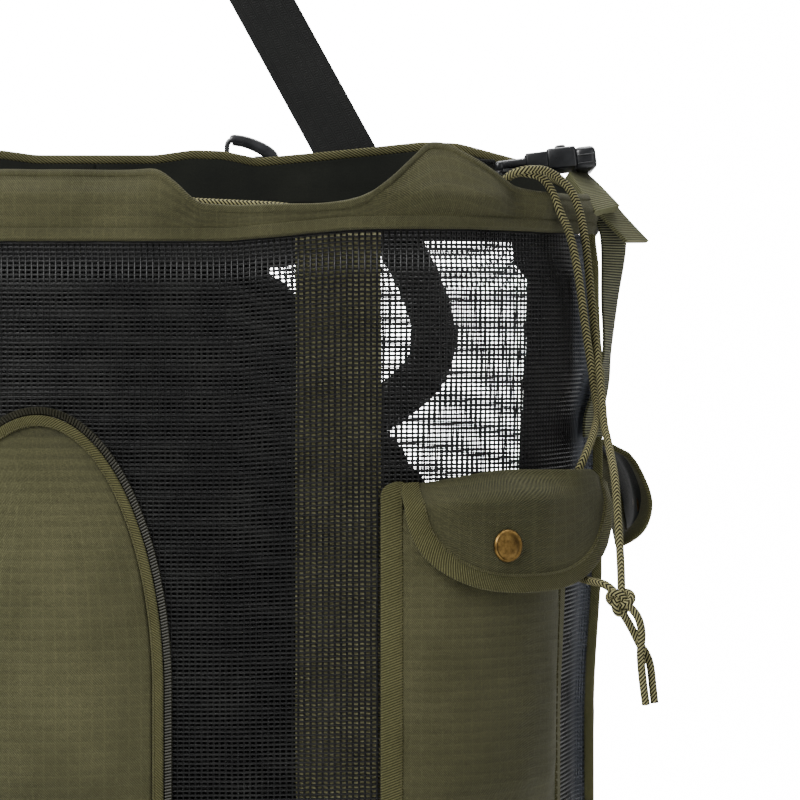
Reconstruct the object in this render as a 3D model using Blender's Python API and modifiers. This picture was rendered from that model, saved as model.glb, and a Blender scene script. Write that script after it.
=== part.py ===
"""Foraging backpack: a stiff net bag with a gathered collar, pockets and straps, hanging from its webbing.

Metres, +Z up. The origin is the hanging point under the top of the wide strap, the front faces -Y.
Heights in the tables are measured up from the bag's base.
"""
import bpy
import bmesh
from math import copysign, cos, pi, radians, sin
from mathutils import Matrix, Vector

for old in list(bpy.data.objects):
    bpy.data.objects.remove(old, do_unlink=True)

# Driving dimensions
HANG_HEIGHT = 0.684
FRONT_Y = -0.2125
BACK_Y = -0.0125
FRONT_FLAT = 0.138
CORNER_RADIUS = 0.100
CORNER_ANGLE = radians(49)
FLANK_RADIUS = 0.172
BACK_RADIUS = 0.030
BAND_TOP = 0.095
GAP = 0.0003
NET_WALL = 0.0010
FABRIC = 0.0016
PATCH_LOW = 0.372
CORD_DIAMETER = 0.003

# The plan outline: flat front, tight corner arc, wide flank arc, short side, back corner, flat back
FLANK_ANGLE = pi / 2 - CORNER_ANGLE
CORNER_CENTRE = Vector((FRONT_FLAT, FRONT_Y + CORNER_RADIUS))
CORNER_TURN = Vector((sin(CORNER_ANGLE), -cos(CORNER_ANGLE)))
FLANK_CENTRE = CORNER_CENTRE + CORNER_TURN * (CORNER_RADIUS - FLANK_RADIUS)
HALF_WIDTH = FLANK_CENTRE.x + FLANK_RADIUS
BACK_FLAT = HALF_WIDTH - BACK_RADIUS
BACK_CENTRE = Vector((BACK_FLAT, BACK_Y - BACK_RADIUS))
AT_CORNER = FRONT_FLAT
AT_FLANK = AT_CORNER + CORNER_RADIUS * CORNER_ANGLE
AT_SIDE = AT_FLANK + FLANK_RADIUS * FLANK_ANGLE
AT_BACK_CORNER = AT_SIDE + BACK_CENTRE.y - FLANK_CENTRE.y
AT_BACK = AT_BACK_CORNER + BACK_RADIUS * pi / 2
HALF_ROUND = AT_BACK + BACK_FLAT
AT_SEAM = AT_FLANK + FLANK_RADIUS * radians(31)
AT_BAND = AT_BACK_CORNER + 0.018

OLIVE = (0.135, 0.125, 0.060, 1)
DARK_OLIVE = (0.060, 0.058, 0.030, 1)
BLACK = (0.012, 0.012, 0.013, 1)
CHARCOAL = (0.020, 0.022, 0.020, 1)
BRASS = (0.30, 0.17, 0.05, 1)

parts = bpy.data.collections.new("foraging_backpack")
bpy.context.scene.collection.children.link(parts)


def finish(name, data, colour, roughness=0.8, metallic=0.0):
    """Makes the object of one piece, in its own material."""
    piece = bpy.data.objects.new(name, data)
    parts.objects.link(piece)
    look = bpy.data.materials.new(name)
    look.use_nodes = True
    shader = look.node_tree.nodes["Principled BSDF"]
    shader.inputs["Base Color"].default_value = colour
    shader.inputs["Roughness"].default_value = roughness
    shader.inputs["Metallic"].default_value = metallic
    data.materials.append(look)
    return piece


def outline(s):
    """Point and outward normal of the plan outline, s along it from the middle of the front."""
    if abs(s) > HALF_ROUND:
        s -= copysign(2 * HALF_ROUND, s)
    d = abs(s)
    if d <= AT_CORNER:
        point, normal = Vector((d, FRONT_Y)), Vector((0, -1))
    elif d <= AT_SIDE:
        tight = d <= AT_FLANK
        centre = CORNER_CENTRE if tight else FLANK_CENTRE
        radius = CORNER_RADIUS if tight else FLANK_RADIUS
        turn = (d - AT_CORNER) / radius if tight else CORNER_ANGLE + (d - AT_FLANK) / radius
        normal = Vector((sin(turn), -cos(turn)))
        point = centre + normal * radius
    elif d <= AT_BACK_CORNER:
        point, normal = Vector((HALF_WIDTH, FLANK_CENTRE.y + d - AT_SIDE)), Vector((1, 0))
    elif d <= AT_BACK:
        turn = (d - AT_BACK_CORNER) / BACK_RADIUS
        normal = Vector((cos(turn), sin(turn)))
        point = BACK_CENTRE + normal * BACK_RADIUS
    else:
        point, normal = Vector((HALF_ROUND - d, BACK_Y)), Vector((0, 1))
    side = copysign(1, s)
    return Vector((point.x * side, point.y)), Vector((normal.x * side, normal.y))


def wall(s, height, out=0.0):
    """A point at the given distance outside the bag's wall."""
    point, normal = outline(s)
    point = point + normal * out
    return Vector((point.x, point.y, height - HANG_HEIGHT))


def back_at(x):
    """The outline distance of a place across the flat back."""
    return copysign(HALF_ROUND - abs(x), x)


def ease(t):
    t = min(max(t, 0.0), 1.0)
    return t * t * (3 - 2 * t)


def table(rows, key):
    """Reads a two-column table with straight runs between its rows."""
    if key <= rows[0][0]:
        return rows[0][1]
    for (k0, v0), (k1, v1) in zip(rows, rows[1:]):
        if key <= k1:
            return v0 + (v1 - v0) * (key - k0) / (k1 - k0)
    return rows[-1][1]


def steps(start, end, count):
    return [start + (end - start) * i / count for i in range(count + 1)]


def cloth(name, columns, rows, place, thickness, colour, ring=False, roughness=0.8):
    """A wall of cloth: a grid with named columns and rows, laid out by place() and thickened both ways."""
    bm = bmesh.new()
    across, up = len(columns) - 1, len(rows) - 1
    bmesh.ops.create_grid(bm, x_segments=across, y_segments=up, size=1)
    for vert in bm.verts:
        column = columns[round((vert.co.x + 1) / 2 * across)]
        row = rows[round((vert.co.y + 1) / 2 * up)]
        vert.co = place(column, row)
    if ring:
        bmesh.ops.remove_doubles(bm, verts=bm.verts, dist=0.00005)
    bmesh.ops.recalc_face_normals(bm, faces=bm.faces)
    mesh = bpy.data.meshes.new(name)
    bm.to_mesh(mesh)
    bm.free()
    piece = finish(name, mesh, colour, roughness)
    solid = piece.modifiers.new("wall", "SOLIDIFY")
    solid.thickness = thickness
    solid.offset = 0
    solid.use_even_offset = True
    return piece


def wall_cloth(name, columns, rows, place, thickness, colour, ring=False):
    """A wall of cloth that follows the bag's wall: place() gives distance along, height and stand-off."""
    bm = bmesh.new()
    across, up = len(columns) - 1, len(rows) - 1
    bmesh.ops.create_grid(bm, x_segments=across, y_segments=up, size=1)
    bmesh.ops.solidify(bm, geom=bm.faces[:], thickness=1)
    if ring:
        ends = [f for f in bm.faces if len({round(v.co.x, 4) for v in f.verts}) == 1]
        bmesh.ops.delete(bm, geom=ends, context="FACES")
    for vert in bm.verts:
        column = columns[round((vert.co.x + 1) / 2 * across)]
        row = rows[round((vert.co.y + 1) / 2 * up)]
        s, height, out = place(column, row)
        face = 0.5 if abs(vert.co.z) > 0.5 else -0.5
        vert.co = wall(s, height, out + face * thickness)
    if ring:
        bmesh.ops.remove_doubles(bm, verts=bm.verts, dist=0.00005)
    bmesh.ops.recalc_face_normals(bm, faces=bm.faces)
    mesh = bpy.data.meshes.new(name)
    bm.to_mesh(mesh)
    bm.free()
    return finish(name, mesh, colour)


def curve_through(points):
    """A dense smooth curve through the given points."""
    ends = [points[0]] + list(points) + [points[-1]]
    dense = []
    for a, b, c, d in zip(ends, ends[1:], ends[2:], ends[3:]):
        for i in range(20):
            t = i / 20
            dense.append(0.5 * (2 * b + (c - a) * t + (2 * a - 5 * b + 4 * c - d) * t * t
                                + (3 * b - a - 3 * c + d) * t ** 3))
    dense.append(points[-1].copy())
    return dense


def smooth(points, count, directions=None):
    """Points at even steps along the curve through the given ones, with the directions that go with them."""
    dense = curve_through(points)
    turning = curve_through(directions or points)
    reach = [0.0]
    for a, b in zip(dense, dense[1:]):
        reach.append(reach[-1] + (b - a).length)
    found, turned, at = [], [], 0
    for i in range(count):
        want = reach[-1] * i / (count - 1)
        while at < len(reach) - 2 and reach[at + 1] < want:
            at += 1
        t = min((want - reach[at]) / (reach[at + 1] - reach[at]), 1.0)
        found.append(dense[at].lerp(dense[at + 1], t))
        turned.append(turning[at].lerp(turning[at + 1], t))
    return (found, turned) if directions else found


def strap(name, route, width, thickness, colour, count):
    """Webbing along a route of rows: x, y, height, and the direction of its width."""
    centres = [Vector((x, y, height - HANG_HEIGHT)) for x, y, height, _ in route]
    sides = [Vector(direction).normalized() for _, _, _, direction in route]
    centres, sides = smooth(centres, count, sides)

    def place(across, along):
        return centres[along] + sides[along].normalized() * across

    return cloth(name, [-width / 2, width / 2], list(range(count)), place, thickness, colour)


def tube(name, route, count, diameter, colour, closed=False):
    """A cord or a bar along a smooth curve through its route."""
    curve = bpy.data.curves.new(name, "CURVE")
    curve.dimensions = "3D"
    curve.bevel_depth = diameter / 2
    curve.bevel_resolution = 2
    curve.use_fill_caps = not closed
    points = smooth([Vector((x, y, height - HANG_HEIGHT)) for x, y, height in route], count)
    if closed:
        points = points[:-1]
    spline = curve.splines.new("POLY")
    spline.points.add(len(points) - 1)
    for point, place in zip(spline.points, points):
        point.co = (*place, 1)
    spline.use_cyclic_u = closed
    return finish(name, curve, colour)


def block(name, size, place, edge, colour, roughness=0.5):
    """A moulded block: its size, its place as a matrix, and the rounding of its edges."""
    bm = bmesh.new()
    bmesh.ops.create_cube(bm, size=1)
    bmesh.ops.scale(bm, verts=bm.verts, vec=size)
    bmesh.ops.bevel(bm, geom=bm.edges[:], affect="EDGES", offset=edge, segments=2, profile=0.5, material=-1)
    bmesh.ops.transform(bm, matrix=place, verts=bm.verts)
    mesh = bpy.data.meshes.new(name)
    bm.to_mesh(mesh)
    bm.free()
    return finish(name, mesh, colour, roughness)


# Front seam height of the collar, by distance along the outline
SEAM_HEIGHT = [
    (0.085, 0.3805),
    (AT_CORNER, 0.3855),
    (AT_FLANK, 0.3875),
    (AT_SIDE, 0.3920),
    (AT_BACK, 0.4140),
]

# Rim height of the collar, by distance along the outline: it dips beside the middle, peaks at the front
# corner, sinks at the side and climbs to the bound back rim
RIM_HEIGHT = [
    (0.0540, 0.4125),
    (0.0616, 0.4063),
    (0.0718, 0.3969),
    (0.0900, 0.3960),
    (0.1250, 0.3969),
    (AT_CORNER, 0.3981),
    (0.1465, 0.4005),
    (0.1557, 0.4076),
    (0.1663, 0.4168),
    (0.1770, 0.4258),
    (0.1862, 0.4258),
    (0.2062, 0.4156),
    (0.2170, 0.4102),
    (AT_FLANK, 0.4080),
    (0.2388, 0.4059),
    (0.2700, 0.4072),
    (0.3100, 0.4106),
    (AT_SIDE, 0.4125),
    (0.3700, 0.4170),
    (0.3950, 0.4280),
    (AT_BACK, 0.4375),
    (0.4500, 0.4465),
    (0.4696, 0.4471),
    (0.4940, 0.4445),
    (0.5270, 0.4413),
    (0.5570, 0.4386),
    (0.5740, 0.4423),
    (0.5910, 0.4429),
    (0.6100, 0.4402),
]
RIM_BINDING = 0.0050
BOUND_FROM = 0.345


def seam_height(s):
    return table(SEAM_HEIGHT, abs(s))


def rim_height(s):
    return table(RIM_HEIGHT, min(abs(s), 2 * HALF_ROUND - abs(s)))


def mirrored(columns):
    return [-c for c in reversed(columns) if c > 1e-6] + columns


# Columns that follow the outline's arcs
corner_columns = steps(AT_CORNER, AT_FLANK, 6)
flank_columns = steps(AT_FLANK, AT_SIDE, 5)
back_columns = steps(AT_BACK_CORNER, AT_BACK, 4)


def make_base():
    """The folded floor and the low band, with an open top."""
    columns = mirrored([0.0] + corner_columns + flank_columns[1:] + back_columns + [HALF_ROUND])
    middle = Vector((0, (FRONT_Y + BACK_Y) / 2, -HANG_HEIGHT + 0.001))

    def place(s, row):
        if row < 1:
            return middle.lerp(wall(s, 0.001), row)
        return wall(s, 0.001 + (BAND_TOP - 0.001) * (row - 1))

    cloth("base_tray", columns, [0, 1, 1.5, 2], place, 0.0020, OLIVE, ring=True)


def make_net_walls():
    """The open-mesh walls at the front and sides."""

    def net(name, columns, rows=2):
        def place(s, t):
            low = BAND_TOP + GAP
            return s, low + (seam_height(s) - GAP - low) * t, 0

        wall_cloth(name, columns, steps(0, 1, rows), place, NET_WALL, BLACK)

    last = AT_SEAM - GAP / 2
    front = [0.0, 0.085] + corner_columns + [c for c in flank_columns[1:] if c < last] + [last]
    net("front_net", mirrored(front))
    first = AT_SEAM + GAP / 2
    stop = AT_BAND - GAP / 2
    side_columns = [first] + [c for c in flank_columns if c > first]
    side_columns += [c for c in back_columns if c < stop - 0.002] + [stop]
    for side, word in ((1, "right"), (-1, "left")):
        net("side_net_" + word, [c * side for c in side_columns])


def band_edge(height):
    """Where the corner webbing ends by the back: it widens a little as it sinks, and in a patch at its top."""
    patch = 0.0078 * ease((height - PATCH_LOW) / 0.012)
    return BACK_FLAT + 0.0038 - 0.0042 * ease((PATCH_LOW - height) / 0.100) - patch


def make_back():
    """The black webbing up the back corners, the net between, and the padded panel behind it."""
    top = 0.414 - GAP
    heights = [BAND_TOP + GAP, 0.20, PATCH_LOW - 0.100, PATCH_LOW - 0.050, PATCH_LOW, 0.378, 0.384, top]
    last_straight = AT_BACK - 0.0055
    for side, word in ((1, "right"), (-1, "left")):
        def place(s, height, side=side):
            if s > last_straight:
                s = back_at(band_edge(height))
            return s * side, min(height, seam_height(s) - GAP), 0

        columns = steps(AT_BAND + GAP / 2, last_straight, 4) + [HALF_ROUND]
        wall_cloth("corner_band_" + word, columns, heights, place, FABRIC, BLACK)

    def net_place(column, height):
        return back_at((band_edge(height) - GAP) * column), height, 0

    wall_cloth("back_net", [-1, -0.5, 0.0001, 0.5, 1], heights, net_place, NET_WALL, BLACK)

    # Half width of the pad at each height
    pad_half_width = [
        (0.020, 0.216),
        (0.030, 0.222),
        (0.210, 0.222),
        (0.275, 0.173),
        (0.306, 0.153),
        (0.376, 0.103),
        (0.382, 0.097),
        (0.387, 0.108),
        (0.410, 0.106),
    ]

    def pad_place(column, row):
        height, half = row
        return wall(back_at(half * column + 1e-6), height, 0.0048)

    cloth("back_pad", [-1, -0.5, 0.0, 0.5, 1], pad_half_width, pad_place, 0.0070, BLACK, roughness=0.9)


def make_collar():
    """The gathered collar, one closed ring, and the twill binding round its back rim."""
    breaks = [s for s, _ in RIM_HEIGHT] + [0.085]
    front = steps(0, 0.05, 3) + [0.108] + steps(0.192, 0.2000, 1) + [0.212, 0.232, 0.255, 0.270]
    rear = steps(0.3000, AT_SIDE, 3) + [BOUND_FROM, 0.382, 0.388, 0.401, 0.408, HALF_ROUND]
    columns = sorted(set(breaks + front + rear))
    bound = [s for s in columns if s >= BOUND_FROM]
    bound += [2 * HALF_ROUND - s for s in reversed(bound[:-1])]
    columns = mirrored(columns)

    def fold(s, t):
        """A soft roll along the front, with shallow pleats by the dips and a lean back in the middle."""
        d = abs(s)
        roll = 0.0032 * sin(pi * t) * (1 - ease((d - BOUND_FROM + 0.015) / 0.03))
        lean = 0.0080 * t * (1 - ease((d - 0.036) / 0.022))
        pleat = 0.0014 * sin(d * 2 * pi / 0.047) * t * (1 - ease((d - 0.24) / 0.05))
        flat_at_eyelet = ease(abs(d - AT_FLANK) / 0.018)
        return (roll + pleat) * flat_at_eyelet - lean

    def place(s, t):
        low = seam_height(s) + GAP
        hem = RIM_BINDING + 2 * GAP if abs(s) >= BOUND_FROM else 0
        high = rim_height(s) - hem
        return s, low + (high - low) * t, fold(s, t)

    def rim_place(s, t):
        return s, rim_height(s) - RIM_BINDING * (1 - t), 0

    wall_cloth("collar", columns, steps(0, 1, 4), place, 0.0020, OLIVE, ring=True)
    wall_cloth("collar_binding", bound, [0, 1], rim_place, 0.0032, OLIVE)


def make_trim():
    """The seams that stand out at the sides, and the webbing strips behind the front net."""
    strip_half = 0.0192
    strip_at = 0.134
    for side, word in ((1, "right"), (-1, "left")):
        def fin(out, height, side=side):
            return wall(AT_SEAM * side, height, out)

        top = seam_height(AT_SEAM) - GAP
        cloth("seam_binding_" + word, [NET_WALL / 2 + GAP, 0.0085], [BAND_TOP + GAP, 0.24, top], fin,
              0.0030, OLIVE)

        def strip(across, t, side=side):
            s = strip_at + across
            low = BAND_TOP + GAP
            return s * side, low + (seam_height(s) - GAP - low) * t, -0.0016

        wall_cloth("web_strip_" + word, [-strip_half, 0.004, 0.010, 0.015, strip_half], [0, 1], strip,
                   0.0014, OLIVE)


# The arched pocket: half width at the zip's outer edge, the height where the arch springs, and its rise
ARCH_HALF = 0.060
ARCH_LOW = 0.100
ARCH_SPRING = 0.181
ARCH_RISE = 0.126


def arch(turn, inset):
    """A point of the arch's outline: below 0 and above pi it runs on down the straight sides."""
    half, rise = ARCH_HALF - inset, ARCH_RISE - inset
    if turn < 0:
        return -half, ARCH_SPRING + (ARCH_SPRING - ARCH_LOW) * turn
    if turn > pi:
        return half, ARCH_SPRING - (ARCH_SPRING - ARCH_LOW) * (turn - pi)
    return -half * cos(turn), ARCH_SPRING + rise * sin(turn)


def make_arch_pocket():
    turns = [-1, -0.5] + steps(0, pi, 20) + [pi + 0.5, pi + 1]

    def ring(inner, outer, out):
        def place(turn, across):
            x, height = arch(turn, outer + (inner - outer) * across)
            return x, height, out
        return place

    wall_cloth("arch_zipper", turns, [0, 1], ring(0.0034, 0, 0.0017), 0.0018, DARK_OLIVE)
    wall_cloth("arch_pocket_binding", turns, [0, 1], ring(0.0084, 0.0038, 0.0022), 0.0026, OLIVE)
    inset = 0.0094
    half, rise = ARCH_HALF - inset, ARCH_RISE - inset
    rows = [(ARCH_LOW, half), (ARCH_LOW + 0.030, half), (ARCH_SPRING - 0.030, half)]
    rows += [(ARCH_SPRING + rise * sin(t), half * cos(t)) for t in steps(0, radians(84), 8)]
    high = ARCH_SPRING + rise

    def panel(across, row):
        height, reach = row
        swell = (1 - across * across) * min(ease((height - ARCH_LOW) / 0.05), ease((high - height) / 0.07))
        return across * reach, height, 0.0021 + 0.0140 * swell

    wall_cloth("arch_pocket_panel", steps(-1, 1, 8), rows, panel, FABRIC, OLIVE)
    slider = Matrix.Translation(wall(-ARCH_HALF + 0.0009, 0.108, 0.0044))
    block("arch_zip_slider", (0.0050, 0.0030, 0.0100), slider, 0.0008, BLACK)


def flap_edge(turn, half, depth):
    """A blunt half oval: turn runs from -1 at the left seam to 1 at the right."""
    angle = turn * pi / 2
    power = 2 / 2.6
    return copysign(abs(sin(angle)) ** power * half, turn), abs(cos(angle)) ** power * depth


def make_pocket(word, side, kind, left, right, low, high, swell, flap_left, flap_right, flap_top, flap_depth,
                stand, lift=0.0, rise_under_flap=0.0):
    """A bound pocket sewn to the wall, its flap with a bound edge, and the snap cap.

    left, right and the flap's ends are distances along the outline; stand(across, drop) is how far the
    flap stands off the wall, across from 0 to 1 and drop in metres below the flap's seam.
    """
    edge_width = 0.0100
    middle = (left + right) / 2
    half = (right - left) / 2
    inner = half - edge_width - GAP

    def body(across, row):
        height = low + edge_width + GAP + (high - low - edge_width) * row
        rise = (1 - abs(across) ** 2.5) * ease(row / 0.22)
        return side * (middle + inner * across), height, 0.0021 + lift + swell * rise

    wall_cloth(f"{kind}_pocket_{word}", steps(-1, 1, 8), [0, 0.12, 0.25, 0.6, 1], body, FABRIC, OLIVE)

    # The binding runs from under one end of the flap, down that side, round the bottom and up the other
    top = high + rise_under_flap
    down = [(-half + 0.004, top), (-half, top - 0.006), (-half, (low + high) / 2), (-half, low + 0.012),
            (-half + 0.004, low + 0.004), (-half + 0.012, low)]
    run = down + [(0, low)] + [(-x, height) for x, height in reversed(down)]

    def binding(point, across):
        x, height = point
        near = half - edge_width
        inside_x = min(max(x, -near), near)
        inside_height = max(height, low + edge_width)
        return (side * (middle + x + (inside_x - x) * across),
                height + (inside_height - height) * across, 0.0019 + lift)

    fine = []
    for (x0, h0), (x1, h1) in zip(run, run[1:]):
        count = 4 if abs(x1 - x0) > 0.02 else 1
        fine += [(x0 + (x1 - x0) * i / count, h0 + (h1 - h0) * i / count) for i in range(count)]
    wall_cloth(f"{kind}_pocket_binding_{word}", fine + [run[-1]], [0, 1], binding, 0.0020, OLIVE)

    flap_middle = (flap_left + flap_right) / 2
    flap_half = (flap_right - flap_left) / 2
    hem = 0.0065

    def on_flap(x, drop):
        across = (x / flap_half + 1) / 2
        return wall(side * (flap_middle + x), flap_top - drop, stand(across, drop))

    def flap(turn, t):
        x, depth = flap_edge(turn, flap_half - hem - 0.001, flap_depth - hem - 0.001)
        return on_flap(x, depth * t)

    def flap_binding(turn, t):
        x0, depth0 = flap_edge(turn, flap_half, flap_depth)
        x1, depth1 = flap_edge(turn, flap_half - hem, flap_depth - hem)
        return on_flap(x0 + (x1 - x0) * t, depth0 + (depth1 - depth0) * t)

    cloth(f"{kind}_flap_{word}", steps(-0.93, 0.93, 14), [0, 0.15, 0.32, 0.55, 0.78, 1], flap, FABRIC, OLIVE)
    cloth(f"{kind}_flap_binding_{word}", steps(-1, 1, 22), [0, 1], flap_binding, 0.0024, OLIVE)

    # The cap sits on the flap's outer face, square to it
    cap_x = -0.0135
    cap_drop = flap_depth * 0.60
    at = on_flap(cap_x, cap_drop)
    over = on_flap(cap_x + 0.004, cap_drop) - on_flap(cap_x - 0.004, cap_drop)
    down = on_flap(cap_x, cap_drop + 0.004) - on_flap(cap_x, cap_drop - 0.004)
    face = over.cross(down).normalized()
    if face.dot(wall(side * flap_middle, 0, 1) - wall(side * flap_middle, 0, 0)) < 0:
        face.negate()
    bm = bmesh.new()
    cap_height = 0.0022
    turned = Matrix.Translation(at + face * (FABRIC / 2 + 0.0006 + cap_height / 2)) @ (
        face.to_track_quat("Z", "Y").to_matrix().to_4x4())
    bmesh.ops.create_cone(bm, cap_ends=True, segments=16, radius1=0.0075, radius2=0.0058, depth=cap_height,
                          matrix=turned)
    mesh = bpy.data.meshes.new("snap")
    bm.to_mesh(mesh)
    bm.free()
    finish(f"{kind}_snap_{word}", mesh, BRASS, 0.35, 1.0)


def corner_stand(across, drop):
    """The corner flap rolls off the wall and stands free at its outer end."""
    seam = 0.0022 + 0.0190 * ease((across - 0.50) / 0.28)
    full = 0.0090 + 0.0070 * ease(across / 0.2) + 0.0090 * max(across - 0.2, 0) / 0.8
    return seam + (max(full, seam) - seam) * ease(drop / 0.013)


# How far the side flap stands off the wall, by the drop below its seam
SIDE_STAND = [
    (0.000, 0.0021),
    (0.006, 0.0190),
    (0.012, 0.0270),
    (0.022, 0.0320),
    (0.034, 0.0340),
    (0.046, 0.0325),
    (0.055, 0.0240),
]


def side_stand(across, drop):
    """The side flap cups the full pocket: its bound ends turn in towards the wall."""
    from_end = min(across, 1 - across)
    return table(SIDE_STAND, drop) * (1 - 0.38 * (1 - ease(from_end / 0.20)) * ease(drop / 0.020))


def make_pockets():
    for side, word in ((1, "right"), (-1, "left")):
        make_pocket(word, side, "corner", 0.1525, 0.2685, 0.100, 0.262, 0.0090,
                    0.163, 0.272, 0.278, 0.055, corner_stand, rise_under_flap=0.0110)
        make_pocket(word, side, "side", 0.3265, 0.3880, 0.100, 0.270, 0.0060,
                    0.3245, 0.3890, 0.290, 0.055, side_stand, 0.0006)


def make_buckles():
    """The side-release buckles at the collar's ends, with their straps."""
    webbing = 0.025
    for side, word in ((1, "right"), (-1, "left")):
        def turned(rows, side=side):
            return [(x * side, y, h, (d[0] * side, d[1], d[2])) for x, y, h, d in rows]

        place = Matrix.Translation((0.2330 * side, -0.087, 0.4273 - HANG_HEIGHT))
        place = place @ Matrix.Rotation(radians(4 * side), 4, "Y")
        block("buckle_" + word, (0.048, 0.034, 0.0120), place, 0.0030, BLACK, 0.4)
        tab = [(0.2085, -0.087, 0.4282, (0, 1, 0)), (0.1970, -0.084, 0.4290, (0.20, 0.98, 0)),
               (0.1890, -0.072, 0.4310, (0.75, 0.66, 0)), (0.1860, -0.048, 0.4350, (1, 0, 0)),
               (0.1860, -0.0144, 0.4390, (1, 0, 0))]
        strap("buckle_tab_" + word, turned(tab), webbing, 0.0015, CHARCOAL, 9)
        down = [(0.2578, -0.090, 0.4215, (0, 1, 0)), (0.2640, -0.090, 0.4110, (0.10, 1, 0)),
                (0.2668, -0.090, 0.3882, (0.42, 0.9, 0)), (0.2655, -0.093, 0.3600, (0.36, 0.93, 0)),
                (0.2645, -0.096, 0.3349, (0.22, 0.975, 0)), (0.2625, -0.104, 0.3200, (0.32, 0.95, 0)),
                (0.2560, -0.112, 0.3025, (0.42, 0.905, 0))]
        strap("side_strap_" + word, turned(down), webbing, 0.0015, OLIVE, 10)
        tail = [(0.2578, -0.088, 0.4262, (0, 1, 0)), (0.2655, -0.089, 0.4180, (0, 1, 0)),
                (0.2710, -0.091, 0.4040, (0.05, 1, 0)), (0.2790, -0.093, 0.3900, (0.1, 1, 0))]
        strap("strap_tail_" + word, turned(tail), webbing, 0.0022, OLIVE, 7)


# Routes of the drawcord: x, y, height above the base
STRAND_A = [
    (0.2106, -0.1778, 0.3950), (0.2086, -0.1761, 0.3956), (0.2062, -0.1743, 0.3995), (0.2060, -0.1742, 0.4060),
    (0.2073, -0.1753, 0.4120), (0.2115, -0.1780, 0.4160), (0.2165, -0.1805, 0.4170), (0.2226, -0.1785, 0.4175),
    (0.2284, -0.1745, 0.4172), (0.2348, -0.1685, 0.4143), (0.2414, -0.1605, 0.4078), (0.2457, -0.1535, 0.3995),
    (0.2486, -0.1465, 0.3911), (0.2508, -0.1405, 0.3805), (0.2539, -0.1315, 0.3576), (0.2572, -0.1285, 0.3379),
    (0.2589, -0.1325, 0.3134), (0.2595, -0.1385, 0.2985), (0.2607, -0.1465, 0.2887), (0.2620, -0.1605, 0.2726),
    (0.2627, -0.1685, 0.2538), (0.2634, -0.1735, 0.2351), (0.2635, -0.1760, 0.2239),
]
STRAND_B = [
    (0.2128, -0.1752, 0.3950), (0.2108, -0.1735, 0.3956), (0.2088, -0.1713, 0.3995), (0.2086, -0.1712, 0.4060),
    (0.2099, -0.1723, 0.4115), (0.2156, -0.1728, 0.4150), (0.2197, -0.1737, 0.4148), (0.2249, -0.1715, 0.4140),
    (0.2292, -0.1685, 0.4113), (0.2327, -0.1655, 0.4060), (0.2361, -0.1635, 0.3978), (0.2400, -0.1575, 0.3907),
    (0.2430, -0.1525, 0.3817), (0.2463, -0.1465, 0.3664), (0.2495, -0.1385, 0.3472), (0.2530, -0.1315, 0.3278),
    (0.2554, -0.1265, 0.3131), (0.2562, -0.1325, 0.3033), (0.2530, -0.1435, 0.2929), (0.2483, -0.1535, 0.2831),
    (0.2438, -0.1545, 0.2723), (0.2411, -0.1585, 0.2584), (0.2400, -0.1605, 0.2421), (0.2410, -0.1595, 0.2322),
    (0.2442, -0.1615, 0.2277), (0.2496, -0.1695, 0.2260), (0.2550, -0.1755, 0.2252), (0.2586, -0.1772, 0.2230),
]
TAIL_A = [
    (0.2646, -0.1795, 0.2116), (0.2687, -0.1805, 0.2025), (0.2721, -0.1805, 0.1933), (0.2741, -0.1795, 0.1837),
    (0.2745, -0.1785, 0.1705),
]
TAIL_B = [
    (0.2664, -0.1751, 0.2131), (0.2730, -0.1725, 0.2035), (0.2753, -0.1725, 0.1924), (0.2779, -0.1735, 0.1828),
    (0.2797, -0.1745, 0.1709),
]
KNOT = (0.2630, -0.1770, 0.2173)


def make_drawcord():
    """The drawcord: two strands out of an eyelet in the collar, over its rim, to a knot with two tails."""
    span = [(0.0655, 0.3992), (0.0700, 0.3985), (0.0900, 0.3975), (0.1080, 0.3965), (0.1200, 0.3945)]
    tube("cord_span", [(x, FRONT_Y + 0.0030, height) for x, height in span], 9, CORD_DIAMETER, OLIVE)
    tube("cord_strand_a", STRAND_A, 32, CORD_DIAMETER, OLIVE)
    tube("cord_strand_b", STRAND_B, 33, CORD_DIAMETER, OLIVE)
    tube("cord_tail_a", TAIL_A, 7, CORD_DIAMETER, OLIVE)
    tube("cord_tail_b", TAIL_B, 7, CORD_DIAMETER, OLIVE)
    bm = bmesh.new()
    bmesh.ops.create_uvsphere(bm, u_segments=12, v_segments=8, radius=1)
    bmesh.ops.scale(bm, verts=bm.verts, vec=(0.0052, 0.0050, 0.0056))
    x, y, height = KNOT
    bmesh.ops.translate(bm, verts=bm.verts, vec=(x, y, height - HANG_HEIGHT))
    mesh = bpy.data.meshes.new("knot")
    bm.to_mesh(mesh)
    bm.free()
    finish("cord_knot", mesh, OLIVE)

    # The eyelet is a flat brass ring on the collar's inner face, turned about the wall's normal
    hole, rim, eyelet_height = 0.0048, 0.0068, 0.3950
    near, far = -0.0016, -0.0030
    ring = bpy.data.meshes.new("eyelet")
    middle, normal = outline(AT_FLANK)
    place = Matrix.Translation((middle.x, middle.y, eyelet_height - HANG_HEIGHT)) @ (
        Vector((normal.x, normal.y, 0)).to_track_quat("Z", "Y").to_matrix().to_4x4())
    bm = bmesh.new()
    profile = [(hole, near), (rim, near), (rim, far), (hole, far)]
    verts = [bm.verts.new((radius, 0, out)) for radius, out in profile]
    loop = [bm.edges.new((verts[i], verts[(i + 1) % 4])) for i in range(4)]
    bmesh.ops.spin(bm, geom=verts + loop, cent=(0, 0, 0), axis=(0, 0, 1), angle=2 * pi, steps=20,
                   use_merge=True)
    bmesh.ops.recalc_face_normals(bm, faces=bm.faces)
    bmesh.ops.transform(bm, matrix=place, verts=bm.verts)
    bm.to_mesh(ring)
    bm.free()
    finish("drawcord_eyelet", ring, BRASS, 0.35, 1.0)


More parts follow.
